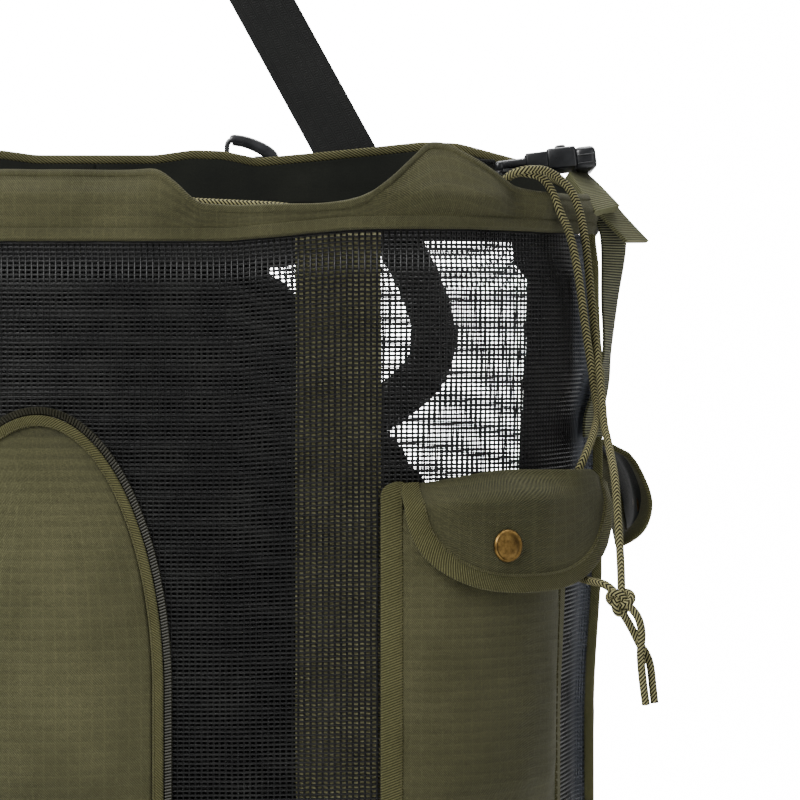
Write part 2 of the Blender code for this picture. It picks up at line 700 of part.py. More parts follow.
def make_straps():
    """The wide strap that the bag hangs from, the shoulder straps behind the back, and the snap ring."""
    foot_x, foot_height = 0.1390, 0.4300
    rise = [(foot_x, -0.0096, foot_height), (0.1310, -0.0085, 0.4446), (0.0660, -0.0040, 0.5634),
            (0.0180, 0.0000, 0.6520), (0.0090, 0.0000, 0.6690)]
    width, thickness = 0.031, 0.0018
    over_hook = (0, 0, HANG_HEIGHT + thickness / 2)
    route = rise + [over_hook] + [(-x, y, h) for x, y, h in reversed(rise)]

    def lie(x):
        """The width's direction: flat on the collar at the feet, and flat over the hanging point."""
        in_face = Vector((copysign(0.877, x), 0, 0.480))
        return tuple(Vector((0, 1, 0)).lerp(in_face, ease((abs(x) - 0.004) / 0.060)).normalized())

    strap("hang_strap", [(x, y, h, lie(x)) for x, y, h in route], width, thickness, CHARCOAL, 33)

    for side, word in ((1, "right"), (-1, "left")):
        path = [(0.1440, -0.0099, 0.4230), (0.1560, -0.0085, 0.4020), (0.1720, -0.0050, 0.3720),
                (0.1795, -0.0028, 0.3450), (0.1740, -0.0026, 0.3240), (0.1560, -0.0026, 0.3080),
                (0.1300, -0.0026, 0.2900), (0.1180, -0.0026, 0.2500), (0.1280, -0.0026, 0.1900),
                (0.1600, -0.0026, 0.1200), (0.1980, -0.0026, 0.0700)]
        rows = []
        for i, (x, y, h) in enumerate(path):
            before, after = path[max(i - 1, 0)], path[min(i + 1, len(path) - 1)]
            along = Vector((after[0] - before[0], 0, after[2] - before[2])).normalized()
            rows.append((x * side, y, h, (along.z * side, 0, -along.x)))
        strap("shoulder_strap_" + word, rows, 0.0235, 0.0026, CHARCOAL, 26)

    centre_x, centre_height = 0.0825, 0.4405
    ring = [(centre_x + 0.0128 * cos(t) - 0.0015 * sin(t), -0.0078, centre_height + 0.0118 * sin(t))
            for t in steps(0, 2 * pi, 24)]
    tube("snap_ring", ring, 25, 0.0046, BLACK, closed=True)

    def tab(x, height):
        return wall(back_at(x), height, 0.0030)

    cloth("snap_ring_tab", [0.0730, 0.0920], [0.4180, 0.4261], tab, 0.0034, CHARCOAL)


make_base()
make_net_walls()
make_back()
make_collar()
make_trim()
make_arch_pocket()
make_pockets()
make_buckles()
make_drawcord()
make_straps()
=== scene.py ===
from math import copysign, cos, pi, radians, sin

import bmesh
import bpy
from mathutils import Matrix, Vector, noise


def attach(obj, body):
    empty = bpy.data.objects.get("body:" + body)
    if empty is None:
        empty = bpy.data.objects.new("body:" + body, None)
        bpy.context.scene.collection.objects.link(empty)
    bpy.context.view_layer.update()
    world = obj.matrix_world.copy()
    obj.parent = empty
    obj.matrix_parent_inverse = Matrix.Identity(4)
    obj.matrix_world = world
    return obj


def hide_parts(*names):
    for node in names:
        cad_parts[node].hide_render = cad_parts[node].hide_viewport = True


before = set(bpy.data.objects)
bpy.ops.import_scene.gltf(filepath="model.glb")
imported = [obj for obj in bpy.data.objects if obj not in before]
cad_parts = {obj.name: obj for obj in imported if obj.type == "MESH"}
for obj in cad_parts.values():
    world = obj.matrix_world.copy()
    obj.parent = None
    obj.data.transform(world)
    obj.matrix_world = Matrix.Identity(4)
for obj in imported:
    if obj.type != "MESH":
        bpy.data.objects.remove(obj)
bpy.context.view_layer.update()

scene = bpy.context.scene

# Studio: a pale floor well below the hanging bag that sweeps up behind it, lit by large soft lights.
# The camera stands level with the bag's upper right part and looks straight at its front.
camera_data = bpy.data.cameras.new("camera")
camera_data.lens = 105
camera_data.sensor_width = 36
camera = bpy.data.objects.new("camera", camera_data)
camera.location = (0.1614, -1.2525, -0.374)
camera.rotation_euler = (radians(90), 0, 0)
scene.collection.objects.link(camera)
scene.camera = camera

FLOOR_Z = -1.10
FLOOR_NEAR_Y = -3.2
SWEEP_HALF_WIDTH = 4
SWEEP_START_Y = 1.0
SWEEP_RADIUS = 0.8
WALL_HEIGHT = 3
PAPER_GLOW = 14.0
PAPER_BOUNCE = 0.1
sweep_bm = bmesh.new()
near = sweep_bm.verts.new((-SWEEP_HALF_WIDTH, FLOOR_NEAR_Y, FLOOR_Z))
far = sweep_bm.verts.new((-SWEEP_HALF_WIDTH, SWEEP_START_Y, FLOOR_Z))
sweep_bm.edges.new((near, far))
turned = bmesh.ops.spin(sweep_bm, geom=[far], cent=(-SWEEP_HALF_WIDTH, SWEEP_START_Y, FLOOR_Z + SWEEP_RADIUS),
                        axis=(1, 0, 0), angle=pi / 2, steps=16, use_merge=False)
last = [item for item in turned["geom_last"] if isinstance(item, bmesh.types.BMVert)]
wall_top = bmesh.ops.extrude_vert_indiv(sweep_bm, verts=last)["verts"]
bmesh.ops.translate(sweep_bm, verts=wall_top, vec=(0, 0, WALL_HEIGHT))
drawn = bmesh.ops.extrude_edge_only(sweep_bm, edges=sweep_bm.edges[:])["geom"]
drawn = [item for item in drawn if isinstance(item, bmesh.types.BMVert)]
bmesh.ops.translate(sweep_bm, verts=drawn, vec=(2 * SWEEP_HALF_WIDTH, 0, 0))
bmesh.ops.recalc_face_normals(sweep_bm, faces=sweep_bm.faces)
bmesh.ops.reverse_faces(sweep_bm, faces=sweep_bm.faces)
sweep_mesh = bpy.data.meshes.new("studio_sweep")
sweep_bm.to_mesh(sweep_mesh)
sweep_bm.free()
sweep_mesh.shade_smooth()
paper = bpy.data.materials.new("pale_paper")
paper.use_nodes = True
tree = paper.node_tree
shader = tree.nodes["Principled BSDF"]
shader.inputs["Base Color"].default_value = (0.93, 0.93, 0.93, 1)
shader.inputs["Roughness"].default_value = 0.95
shader.inputs["Emission Color"].default_value = (1, 1, 1, 1)
glow = tree.nodes.new("ShaderNodeMath")
glow.operation = "MULTIPLY_ADD"
glow.inputs[1].default_value = PAPER_GLOW
glow.inputs[2].default_value = PAPER_BOUNCE
tree.links.new(tree.nodes.new("ShaderNodeLightPath").outputs["Is Camera Ray"], glow.inputs[0])
tree.links.new(glow.outputs[0], shader.inputs["Emission Strength"])
# The paper is clear from its back, so that a view from behind the wall looks through it at the bag
one_way = tree.nodes.new("ShaderNodeMixShader")
tree.links.new(tree.nodes.new("ShaderNodeNewGeometry").outputs["Backfacing"], one_way.inputs[0])
tree.links.new(shader.outputs[0], one_way.inputs[1])
tree.links.new(tree.nodes.new("ShaderNodeBsdfTransparent").outputs[0], one_way.inputs[2])
tree.links.new(one_way.outputs[0], tree.nodes["Material Output"].inputs["Surface"])
sweep_mesh.materials.append(paper)
studio_sweep = bpy.data.objects.new("studio_sweep", sweep_mesh)
scene.collection.objects.link(studio_sweep)

world = bpy.data.worlds.new("studio")
world.use_nodes = True
world.node_tree.nodes["Background"].inputs["Color"].default_value = (1, 1, 1, 1)
world.node_tree.nodes["Background"].inputs["Strength"].default_value = 0.26
scene.world = world

BAG_MIDDLE = Vector((0.05, -0.1, -0.38))
WALL_MIDDLE = Vector((0.1, 2.2, -0.5))
# name, place, size in metres, power in watts, what it faces
soft_lights = [
    ("key_light", (-1.0, -1.6, 0.9), 1.1, 76, BAG_MIDDLE),
    ("fill_light", (1.6, -1.5, 0.1), 1.4, 8, BAG_MIDDLE),
    ("top_light", (0.3, 0.1, 1.2), 1.0, 30, BAG_MIDDLE),
    ("wall_light", (0.0, 0.7, 0.9), 2.0, 40, WALL_MIDDLE),
]
for name, place, size, power, aim in soft_lights:
    light = bpy.data.lights.new(name, "AREA")
    light.size = size
    light.energy = power
    lamp = bpy.data.objects.new(name, light)
    lamp.location = place
    lamp.rotation_euler = (aim - Vector(place)).to_track_quat("-Z", "Y").to_euler()
    scene.collection.objects.link(lamp)


# Drawcord: a 4 mm braid in olive with black flecks. Two strands leave the eyelet in the collar, arch over
# its rim and hang to an overhand knot, below which two short tails stick out. A stretch of it also lies
# along the dip in the collar, in the open end of its channel.
HANG_HEIGHT = 0.684
CORD = 0.0039


def add_node(tree, kind, sockets=None, **settings):
    """Adds a shader node; a socket given is linked to its input, and a value is set on it."""
    node = tree.nodes.new("ShaderNode" + kind)
    for key, value in settings.items():
        setattr(node, key, value)
    for socket, value in (sockets or {}).items():
        if isinstance(value, bpy.types.NodeSocket):
            tree.links.new(value, node.inputs[socket])
        else:
            node.inputs[socket].default_value = value
    return node


def maths(tree, operation, *values):
    return add_node(tree, "Math", dict(enumerate(values)), operation=operation).outputs[0]


def mix_colours(tree, factor, first, second, blend="MIX"):
    node = add_node(tree, "Mix", {0: factor, 6: first, 7: second}, data_type="RGBA", blend_type=blend)
    return node.outputs[2]


def new_group(name, inputs, outputs):
    """A shader node group with named inputs and outputs; returns its tree and both ends."""
    tree = bpy.data.node_groups.new(name, "ShaderNodeTree")
    for label, kind, value in inputs:
        socket = tree.interface.new_socket(label, in_out="INPUT", socket_type="NodeSocket" + kind)
        if value is not None:
            socket.default_value = value
    for label, kind in outputs:
        tree.interface.new_socket(label, in_out="OUTPUT", socket_type="NodeSocket" + kind)
    return tree, tree.nodes.new("NodeGroupInput").outputs, tree.nodes.new("NodeGroupOutput").inputs


# Slanted ribs: threads that run askew along a tape and turn back at each band, as in braid and twill
slanted_ribs, given, result = new_group(
    "slanted_ribs",
    [("Vector", "Vector", None), ("Pitch", "Float", 0.0014), ("Band", "Float", 1.0), ("Slope", "Float", 1.0)],
    [("Height", "Float")])
split = add_node(slanted_ribs, "SeparateXYZ", {0: given["Vector"]}).outputs
folded = maths(slanted_ribs, "PINGPONG", split[1], given["Band"])
askew = maths(slanted_ribs, "MULTIPLY_ADD", folded, given["Slope"], split[0])
phase = maths(slanted_ribs, "MULTIPLY", maths(slanted_ribs, "DIVIDE", askew, given["Pitch"]), 2 * pi)
wave = maths(slanted_ribs, "SINE", phase)
slanted_ribs.links.new(maths(slanted_ribs, "MULTIPLY_ADD", wave, 0.5, 0.5), result["Height"])

# Faded cloth: the colour drifts in soft blotches, and fine fibres fleck it
faded_cloth, given, result = new_group(
    "faded_cloth",
    [("Vector", "Vector", None), ("Cloth", "Color", None), ("Faded", "Color", None), ("Blotch", "Float", 16.0),
     ("Fleck", "Float", 1400.0)],
    [("Color", "Color")])
blotch = add_node(faded_cloth, "TexNoise", {"Vector": given["Vector"], "Scale": given["Blotch"], "Detail": 5.0,
                                            "Roughness": 0.6}).outputs[0]
spread = add_node(faded_cloth, "MapRange", {0: blotch, 1: 0.35, 2: 0.68}).outputs[0]
fibre = add_node(faded_cloth, "TexNoise", {"Vector": given["Vector"], "Scale": given["Fleck"], "Detail": 2.0,
                                           "Roughness": 0.7}).outputs[0]
fleck = add_node(faded_cloth, "MapRange", {0: fibre, 1: 0.3, 2: 0.7, 3: 0.72, 4: 1.25}).outputs[0]
toned = mix_colours(faded_cloth, spread, given["Cloth"], given["Faded"])
grey = add_node(faded_cloth, "CombineColor", {0: fleck, 1: fleck, 2: fleck}).outputs[0]
faded_cloth.links.new(mix_colours(faded_cloth, 1.0, toned, grey, "MULTIPLY"), result["Color"])


def use_group(tree, group, **sockets):
    node = tree.nodes.new("ShaderNodeGroup")
    node.node_tree = group
    for label, value in sockets.items():
        if isinstance(value, bpy.types.NodeSocket):
            tree.links.new(value, node.inputs[label])
        else:
            node.inputs[label].default_value = value
    return node.outputs


def fabric(name, cloth, faded, relief, depth=0.0003, gap_shade=0.55, roughness=0.85, sheen=0.03, blotch=16.0,
           crisp=0.0):
    """A cloth finish; relief(tree, flat) gives its threads' height, which shades the gaps between them."""
    look = bpy.data.materials.new(name)
    look.use_nodes = True
    tree = look.node_tree
    shader = tree.nodes["Principled BSDF"]
    flat = add_node(tree, "UVMap", uv_map="cloth").outputs[0]
    around = add_node(tree, "TexCoord").outputs["Object"]
    height = relief(tree, flat)
    colour = use_group(tree, faded_cloth, Vector=around, Cloth=cloth, Faded=faded, Blotch=blotch)["Color"]
    shade = add_node(tree, "MapRange", {0: height, 1: crisp, 2: 1 - crisp, 3: gap_shade, 4: 1.12}).outputs[0]
    grey_shade = add_node(tree, "CombineColor", {0: shade, 1: shade, 2: shade}).outputs[0]
    tree.links.new(mix_colours(tree, 1.0, colour, grey_shade, "MULTIPLY"), shader.inputs["Base Color"])
    bump = add_node(tree, "Bump", {"Strength": 0.9, "Distance": depth, "Height": height}).outputs[0]
    tree.links.new(bump, shader.inputs["Normal"])
    shader.inputs["Roughness"].default_value = roughness
    shader.inputs["Sheen Weight"].default_value = sheen
    shader.inputs["Specular IOR Level"].default_value = 0.15
    return look


def ribs(pitch, band=1.0, slope=1.0):
    def relief(tree, flat):
        return use_group(tree, slanted_ribs, Vector=flat, Pitch=pitch, Band=band, Slope=slope)["Height"]
    return relief


OLIVE = (0.056, 0.055, 0.024, 1)
OLIVE_FADED = (0.086, 0.083, 0.039, 1)

braid = fabric("braided_cord", (0.150, 0.140, 0.062, 1), (0.230, 0.212, 0.100, 1),
               ribs(0.0018, CORD * pi / 4, 0.9), depth=0.0003, gap_shade=0.01, crisp=0.38)


def curve_through(points):
    """A dense smooth curve through the given points."""
    ends = [points[0]] + list(points) + [points[-1]]
    dense = []
    for a, b, c, d in zip(ends, ends[1:], ends[2:], ends[3:]):
        for i in range(20):
            t = i / 20
            dense.append(0.5 * (2 * b + (c - a) * t + (2 * a - 5 * b + 4 * c - d) * t * t
                                + (3 * b - a - 3 * c + d) * t ** 3))
    dense.append(points[-1].copy())
    return dense


def even_points(points, count, directions=None):
    """Points at even steps along the smooth curve, with the directions that go with them."""
    dense = curve_through(points)
    turning = curve_through(directions or points)
    reach = [0.0]
    for a, b in zip(dense, dense[1:]):
        reach.append(reach[-1] + (b - a).length)
    found, turned, at = [], [], 0
    for i in range(count):
        want = reach[-1] * i / (count - 1)
        while at < len(reach) - 2 and reach[at + 1] < want:
            at += 1
        t = min((want - reach[at]) / (reach[at + 1] - reach[at]), 1.0)
        found.append(dense[at].lerp(dense[at + 1], t))
        turned.append(turning[at].lerp(turning[at + 1], t))
    return (found, turned) if directions else found


def grid_cloth(across, up, place, flat, ring=False):
    """A grid laid out by place(u, v), u and v from 0 to 1, with flat(u, v) in metres as its UV map."""
    bm = bmesh.new()
    bmesh.ops.create_grid(bm, x_segments=across, y_segments=up, size=1)
    layer = bm.loops.layers.uv.new("cloth")
    spots = {vert: ((vert.co.x + 1) / 2, (vert.co.y + 1) / 2) for vert in bm.verts}
    for face in bm.faces:
        for loop in face.loops:
            loop[layer].uv = flat(*spots[loop.vert])
    for vert, (u, v) in spots.items():
        vert.co = place(u, v)
    if ring:
        bmesh.ops.remove_doubles(bm, verts=bm.verts, dist=0.00002)
    bmesh.ops.recalc_face_normals(bm, faces=bm.faces)
    middle = Vector((0, -0.1125, 0))
    facing = sum(face.normal.dot(Vector((*face.calc_center_median().xy, 0)) - middle) for face in bm.faces)
    if facing < 0 and not ring:
        bmesh.ops.reverse_faces(bm, faces=bm.faces)
    return bm


def blunted(value, power):
    return copysign(abs(value) ** power, value)


def band(outers, inners, thickness, sides=12, boxy=0.45, closed=False):
    """A tape, strap or cord swept between two edge lines; boxy 1 gives an oval section, less a flatter one."""
    count = len(outers)
    centres = [(a + b) / 2 for a, b in zip(outers, inners)]
    halves = [(b - a) / 2 for a, b in zip(outers, inners)]
    reach = [0.0]
    for a, b in zip(centres, centres[1:]):
        reach.append(reach[-1] + (b - a).length)
    faces = []
    for i in range(count):
        before = centres[i - 1] if i or closed else centres[0]
        after = centres[(i + 1) % count] if i < count - 1 or closed else centres[-1]
        faces.append(halves[i].cross(after - before).normalized())
    section = []
    for k in range(sides + 1):
        angle = 2 * pi * k / sides
        section.append((blunted(cos(angle), boxy), blunted(sin(angle), boxy)))
    width = halves[0].length
    runs = count if closed else count - 1

    def place(u, v):
        across, out = section[round(u * sides) % sides]
        i = round(v * runs) % count
        return centres[i] + halves[i] * across + faces[i] * out * thickness / 2

    def flat(u, v):
        k, i = round(u * sides), round(v * runs)
        along = reach[i] if i < count else reach[-1] + reach[1]
        return along, width * (1 + section[k][0]) if boxy < 1 else 2 * pi * width * k / sides

    bm = grid_cloth(sides, runs, place, flat, ring=True)
    if not closed:
        rims = [edge for edge in bm.edges if edge.is_boundary]
        bmesh.ops.holes_fill(bm, edges=rims, sides=sides)
        bmesh.ops.recalc_face_normals(bm, faces=bm.faces)
    return bm


def finish(name, bm, look, nodes=(), thickness=0.0, lining=None, sharp=50):
    """Makes the object of one piece, hangs it on the root and hides the parts it replaces; a wall of cloth
    gets its thickness here.
    """
    mesh = bpy.data.meshes.new(name)
    bm.to_mesh(mesh)
    bm.free()
    mesh.shade_smooth()
    mesh.set_sharp_from_angle(angle=radians(sharp))
    mesh.materials.append(look)
    made = bpy.data.objects.new(name, mesh)
    scene.collection.objects.link(made)
    if thickness:
        solid = made.modifiers.new("cloth_wall", "SOLIDIFY")
        solid.thickness = thickness
        solid.offset = 0
        if lining:
            mesh.materials.append(lining)
            solid.material_offset = 1
    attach(made, "root")
    if nodes:
        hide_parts(*nodes)
    return made


def tube_edges(points, radius):
    """The two edge lines of a round cord along the points, turned as little as possible on the way."""
    side = (points[1] - points[0]).orthogonal().normalized()
    outers, inners = [], []
    for i, point in enumerate(points):
        along = points[min(i + 1, len(points) - 1)] - points[max(i - 1, 0)]
        side = (side - along * side.dot(along) / along.length_squared).normalized()
        outers.append(point - side * radius)
        inners.append(point + side * radius)
    return outers, inners


def at_height(rows):
    return [Vector((x, y, height - HANG_HEIGHT)) for x, y, height in rows]


# Routes of the drawcord: x, y, height above the bag's base
STRAND_A = at_height([
    (0.2106, -0.1778, 0.3950), (0.2086, -0.1761, 0.3956), (0.2066, -0.1743, 0.3995), (0.2072, -0.1742, 0.4055),
    (0.2090, -0.1753, 0.4105), (0.2130, -0.1780, 0.4140), (0.2175, -0.1805, 0.4154), (0.2226, -0.1785, 0.4161),
    (0.2284, -0.1745, 0.4160), (0.2346, -0.1685, 0.4136), (0.2414, -0.1605, 0.4078), (0.2457, -0.1535, 0.3995),
    (0.2482, -0.1470, 0.3911), (0.2503, -0.1410, 0.3805), (0.2533, -0.1325, 0.3576), (0.2556, -0.1295, 0.3379),
    (0.2580, -0.1335, 0.3134), (0.2588, -0.1390, 0.2985), (0.2603, -0.1465, 0.2887), (0.2620, -0.1605, 0.2726),
    (0.2627, -0.1685, 0.2538), (0.2634, -0.1735, 0.2351), (0.2635, -0.1760, 0.2239), (0.2632, -0.1768, 0.2190),
])
STRAND_B = at_height([
    (0.2128, -0.1752, 0.3950), (0.2108, -0.1735, 0.3956), (0.2088, -0.1713, 0.3995), (0.2086, -0.1712, 0.4060),
    (0.2099, -0.1723, 0.4115), (0.2156, -0.1728, 0.4150), (0.2197, -0.1737, 0.4148), (0.2249, -0.1715, 0.4140),
    (0.2292, -0.1685, 0.4113), (0.2327, -0.1655, 0.4060), (0.2361, -0.1635, 0.3978), (0.2400, -0.1575, 0.3907),
    (0.2430, -0.1525, 0.3817), (0.2463, -0.1465, 0.3664), (0.2495, -0.1385, 0.3472), (0.2530, -0.1315, 0.3278),
    (0.2554, -0.1265, 0.3131), (0.2562, -0.1325, 0.3033), (0.2530, -0.1435, 0.2929), (0.2483, -0.1535, 0.2831),
    (0.2438, -0.1545, 0.2723), (0.2411, -0.1585, 0.2584), (0.2400, -0.1605, 0.2421), (0.2410, -0.1595, 0.2322),
    (0.2442, -0.1615, 0.2277), (0.2496, -0.1695, 0.2260), (0.2550, -0.1755, 0.2252), (0.2586, -0.1772, 0.2230),
    (0.2622, -0.1776, 0.2190),
])
TAIL_A = at_height([
    (0.2668, -0.1785, 0.2152), (0.2686, -0.1795, 0.2132), (0.2703, -0.1805, 0.2110), (0.2717, -0.1815, 0.2072),
    (0.2724, -0.1815, 0.2021), (0.2720, -0.1815, 0.1971), (0.2720, -0.1805, 0.1917), (0.2727, -0.1795, 0.1841),
    (0.2736, -0.1785, 0.1771), (0.2747, -0.1775, 0.1697),
])
TAIL_B = at_height([
    (0.2637, -0.1775, 0.2128), (0.2651, -0.1765, 0.2101), (0.2667, -0.1755, 0.2075), (0.2694, -0.1750, 0.2026),
    (0.2720, -0.1750, 0.1973), (0.2746, -0.1750, 0.1936), (0.2763, -0.1750, 0.1899), (0.2773, -0.1750, 0.1853),
    (0.2781, -0.1750, 0.1778), (0.2789, -0.1755, 0.1701),
])
SPAN = at_height([(0.0655, -0.2095, 0.3992), (0.0700, -0.2095, 0.3985), (0.0900, -0.2095, 0.3975),
                  (0.1080, -0.2095, 0.3965), (0.1200, -0.2095, 0.3945)])


def length_of(points):
    return sum((b - a).length for a, b in zip(points, points[1:]))


def braided(name, route, count, node):
    points = even_points(route, count)
    bm = band(*tube_edges(points, CORD / 2), CORD, sides=12, boxy=1)
    return finish(name, bm, braid, [node]), points


# The knot is a trefoil pulled tight, with the two strands going in at its top and the tails out below
knot_centre = Vector((0.2630, -0.1770, 0.2173 - HANG_HEIGHT))
KNOT_LOOP = 0.00185
KNOT_STEPS = 72
knot_points = []
for i in range(KNOT_STEPS):
    t = 2 * pi * i / KNOT_STEPS
    turn = Vector((sin(t) + 2 * sin(2 * t), -0.75 * sin(3 * t), cos(t) - 2 * cos(2 * t)))
    knot_points.append(knot_centre + turn * KNOT_LOOP)
knot_out, knot_in = [], []
for i, point in enumerate(knot_points):
    along = knot_points[(i + 1) % KNOT_STEPS] - knot_points[i - 1]
    side = along.cross(point - knot_centre).normalized() * CORD / 2
    knot_out.append(point - side)
    knot_in.append(point + side)
knot = finish("tied_knot", band(knot_out, knot_in, CORD, sides=10, boxy=1, closed=True), braid,
              ["cord_knot"])

for name, route, count, node, far_end in (
        ("braided_strand_a", STRAND_A, 120, "cord_strand_a", "knot"),
        ("braided_strand_b", STRAND_B, 130, "cord_strand_b", "knot"),
        ("braided_tail_a", TAIL_A, 24, "cord_tail_a", "bare"),
        ("braided_tail_b", TAIL_B, 24, "cord_tail_b", "bare")):
    strand, line = braided(name, route, count, node)
    tuple(line[0])
    length_of(line)
    [tuple(p) for p in line]
braided("braided_span", SPAN, 24, "cord_span")


# Base tray: heavy olive canvas folded up into a low band round the bag, with its floor in one piece.
# It is sewn as a tray; the net walls are stitched into its top edge.
BAND_TOP = 0.095
FRONT_Y = -0.2125
BACK_Y = -0.0125
FRONT_FLAT = 0.138
CORNER_RADIUS = 0.100
CORNER_ANGLE = radians(49)
FLANK_RADIUS = 0.172
BACK_RADIUS = 0.030
corner_centre = Vector((FRONT_FLAT, FRONT_Y + CORNER_RADIUS))
corner_turn = Vector((sin(CORNER_ANGLE), -cos(CORNER_ANGLE)))
flank_centre = corner_centre + corner_turn * (CORNER_RADIUS - FLANK_RADIUS)
HALF_WIDTH = flank_centre.x + FLANK_RADIUS
BACK_FLAT = HALF_WIDTH - BACK_RADIUS
back_centre = Vector((BACK_FLAT, BACK_Y - BACK_RADIUS))
AT_FLANK = FRONT_FLAT + CORNER_RADIUS * CORNER_ANGLE
AT_SIDE = AT_FLANK + FLANK_RADIUS * (pi / 2 - CORNER_ANGLE)
AT_BACK_CORNER = AT_SIDE + back_centre.y - flank_centre.y
AT_BACK = AT_BACK_CORNER + BACK_RADIUS * pi / 2
HALF_ROUND = AT_BACK + BACK_FLAT
AT_SEAM = AT_FLANK + FLANK_RADIUS * radians(31)
AT_BAND = AT_BACK_CORNER + 0.018


def outline(s):
    """Point and outward normal of the bag's plan, s along it from the middle of the front."""
    if abs(s) > HALF_ROUND:
        s -= copysign(2 * HALF_ROUND, s)
    d = abs(s)
    if d <= FRONT_FLAT:
        point, normal = Vector((d, FRONT_Y)), Vector((0, -1))
    elif d <= AT_SIDE:
        tight = d <= AT_FLANK
        centre = corner_centre if tight else flank_centre
        radius = CORNER_RADIUS if tight else FLANK_RADIUS
        turn = (d - FRONT_FLAT) / radius if tight else CORNER_ANGLE + (d - AT_FLANK) / radius
        normal = Vector((sin(turn), -cos(turn)))
        point = centre + normal * radius
    elif d <= AT_BACK_CORNER:
        point, normal = Vector((HALF_WIDTH, flank_centre.y + d - AT_SIDE)), Vector((1, 0))
    elif d <= AT_BACK:
        turn = (d - AT_BACK_CORNER) / BACK_RADIUS
        normal = Vector((cos(turn), sin(turn)))
        point = back_centre + normal * BACK_RADIUS
    else:
        point, normal = Vector((HALF_ROUND - d, BACK_Y)), Vector((0, 1))
    side = copysign(1, s)
    return Vector((point.x * side, point.y)), Vector((normal.x * side, normal.y))


POCKET_DRAW = 0.0042
SIDE_SWELL = 0.0044
COLLAR_SWELL = 0.0026


def side_dip(s, height):
    """How far the side is drawn in above the tray by its pocket; higher up it swells a little instead."""
    at_side = ease((abs(s) - 0.235) / 0.05) * ease((0.42 - abs(s)) / 0.03)
    swell = SIDE_SWELL * ease((height - 0.292) / 0.035)
    swell -= (SIDE_SWELL - COLLAR_SWELL) * ease((height - 0.372) / 0.02)
    swell -= COLLAR_SWELL * ease((height - 0.405) / 0.030)
    return (POCKET_DRAW * ease((0.245 - height) / 0.09) - swell) * at_side


def wall(s, height, out=0.0):
    """A point at the given distance outside the bag's wall."""
    point, normal = outline(s)
    point = point + normal * (out - side_dip(s, height))
    return Vector((point.x, point.y, height - HANG_HEIGHT))


def back_at(x):
    return copysign(HALF_ROUND - abs(x), x)


def ease(t):
    t = min(max(t, 0.0), 1.0)
    return t * t * (3 - 2 * t)


def table(rows, key):
    """Reads a two-column table with straight runs between its rows."""
    if key <= rows[0][0]:
        return rows[0][1]
    for (k0, v0), (k1, v1) in zip(rows, rows[1:]):
        if key <= k1:
            return v0 + (v1 - v0) * (key - k0) / (k1 - k0)
    return rows[-1][1]


def between(start, end, t):
    return start + (end - start) * t


def steps(start, end, count):
    return [between(start, end, i / count) for i in range(count + 1)]


def rumple(s, height, seed, size=1.0):
    """Soft unevenness of hung cloth, in metres: broad waves and small dents."""
    broad = noise.noise(Vector((s * 22, height * 34, seed)))
    small = noise.noise(Vector((s * 75, height * 95, seed + 7.3)))
    return size * (0.0011 * broad + 0.00045 * small)


# Plain weave with the raised squares of ripstop cloth
plain_weave, given, result = new_group(
    "plain_weave",
    [("Vector", "Vector", None), ("Pitch", "Float", 0.0009), ("Ripstop", "Float", 0.005)],
    [("Height", "Float")])
split = add_node(plain_weave, "SeparateXYZ", {0: given["Vector"]}).outputs
waves, lines = [], []
for axis in (0, 1):
    turns = maths(plain_weave, "DIVIDE", split[axis], given["Pitch"])
    waves.append(maths(plain_weave, "SINE", maths(plain_weave, "MULTIPLY", turns, 2 * pi)))
    half_square = maths(plain_weave, "MULTIPLY", given["Ripstop"], 0.5)
    from_line = maths(plain_weave, "PINGPONG", split[axis], half_square)
    lines.append(add_node(plain_weave, "MapRange", {0: from_line, 1: 0.00060, 2: 0.00015}).outputs[0])
slanted = maths(plain_weave, "ADD", split[0], maths(plain_weave, "MULTIPLY", split[1], 0.8))
twist = maths(plain_weave, "MULTIPLY", maths(plain_weave, "DIVIDE", slanted, given["Pitch"]), 2 * pi)
ribbed = maths(plain_weave, "MULTIPLY_ADD", maths(plain_weave, "SINE", twist), 0.27, 0.46)
checks = maths(plain_weave, "MULTIPLY_ADD", maths(plain_weave, "MULTIPLY", *waves), 0.20, ribbed)
ridge = maths(plain_weave, "MULTIPLY", maths(plain_weave, "MAXIMUM", *lines), 0.14)
plain_weave.links.new(maths(plain_weave, "ADD", checks, ridge), result["Height"])


def ripstop(pitch=0.0009, square=0.005):
    def relief(tree, flat):
        return use_group(tree, plain_weave, Vector=flat, Pitch=pitch, Ripstop=square)["Height"]
    return relief


canvas = fabric("olive_canvas", OLIVE, OLIVE_FADED, ripstop(0.0010), depth=0.0004, gap_shade=0.30)


def tray_place(u, v):
    s = between(-HALF_ROUND, HALF_ROUND, u)
    middle = Vector((0, (FRONT_Y + BACK_Y) / 2, 0.001 - HANG_HEIGHT))
    floor_part, fold_part = 0.45, 0.06
    if v < floor_part:
        reach = v / floor_part
        edge = wall(s, 0.001, -0.003)
        return middle.lerp(edge, reach) + Vector((0, 0, 0.0006 * abs(noise.noise(edge * 30)) * reach))
    if v < floor_part + fold_part:
        turn = (v - floor_part) / fold_part * pi / 2
        return wall(s, 0.004 - 0.003 * cos(turn), -0.003 + 0.003 * sin(turn))
    t = (v - floor_part - fold_part) / (1 - floor_part - fold_part)
    height = between(0.004, BAND_TOP, t)
    return wall(s, height, rumple(s, height, 3.0, 0.9) * sin(pi * t) ** 0.5)


def tray_flat(u, v):
    return (between(-HALF_ROUND, HALF_ROUND, u), 0.24 * v)


finish("base_tray_canvas", grid_cloth(336, 46, tray_place, tray_flat, ring=True), canvas,
       ["base_tray"], thickness=0.0019)


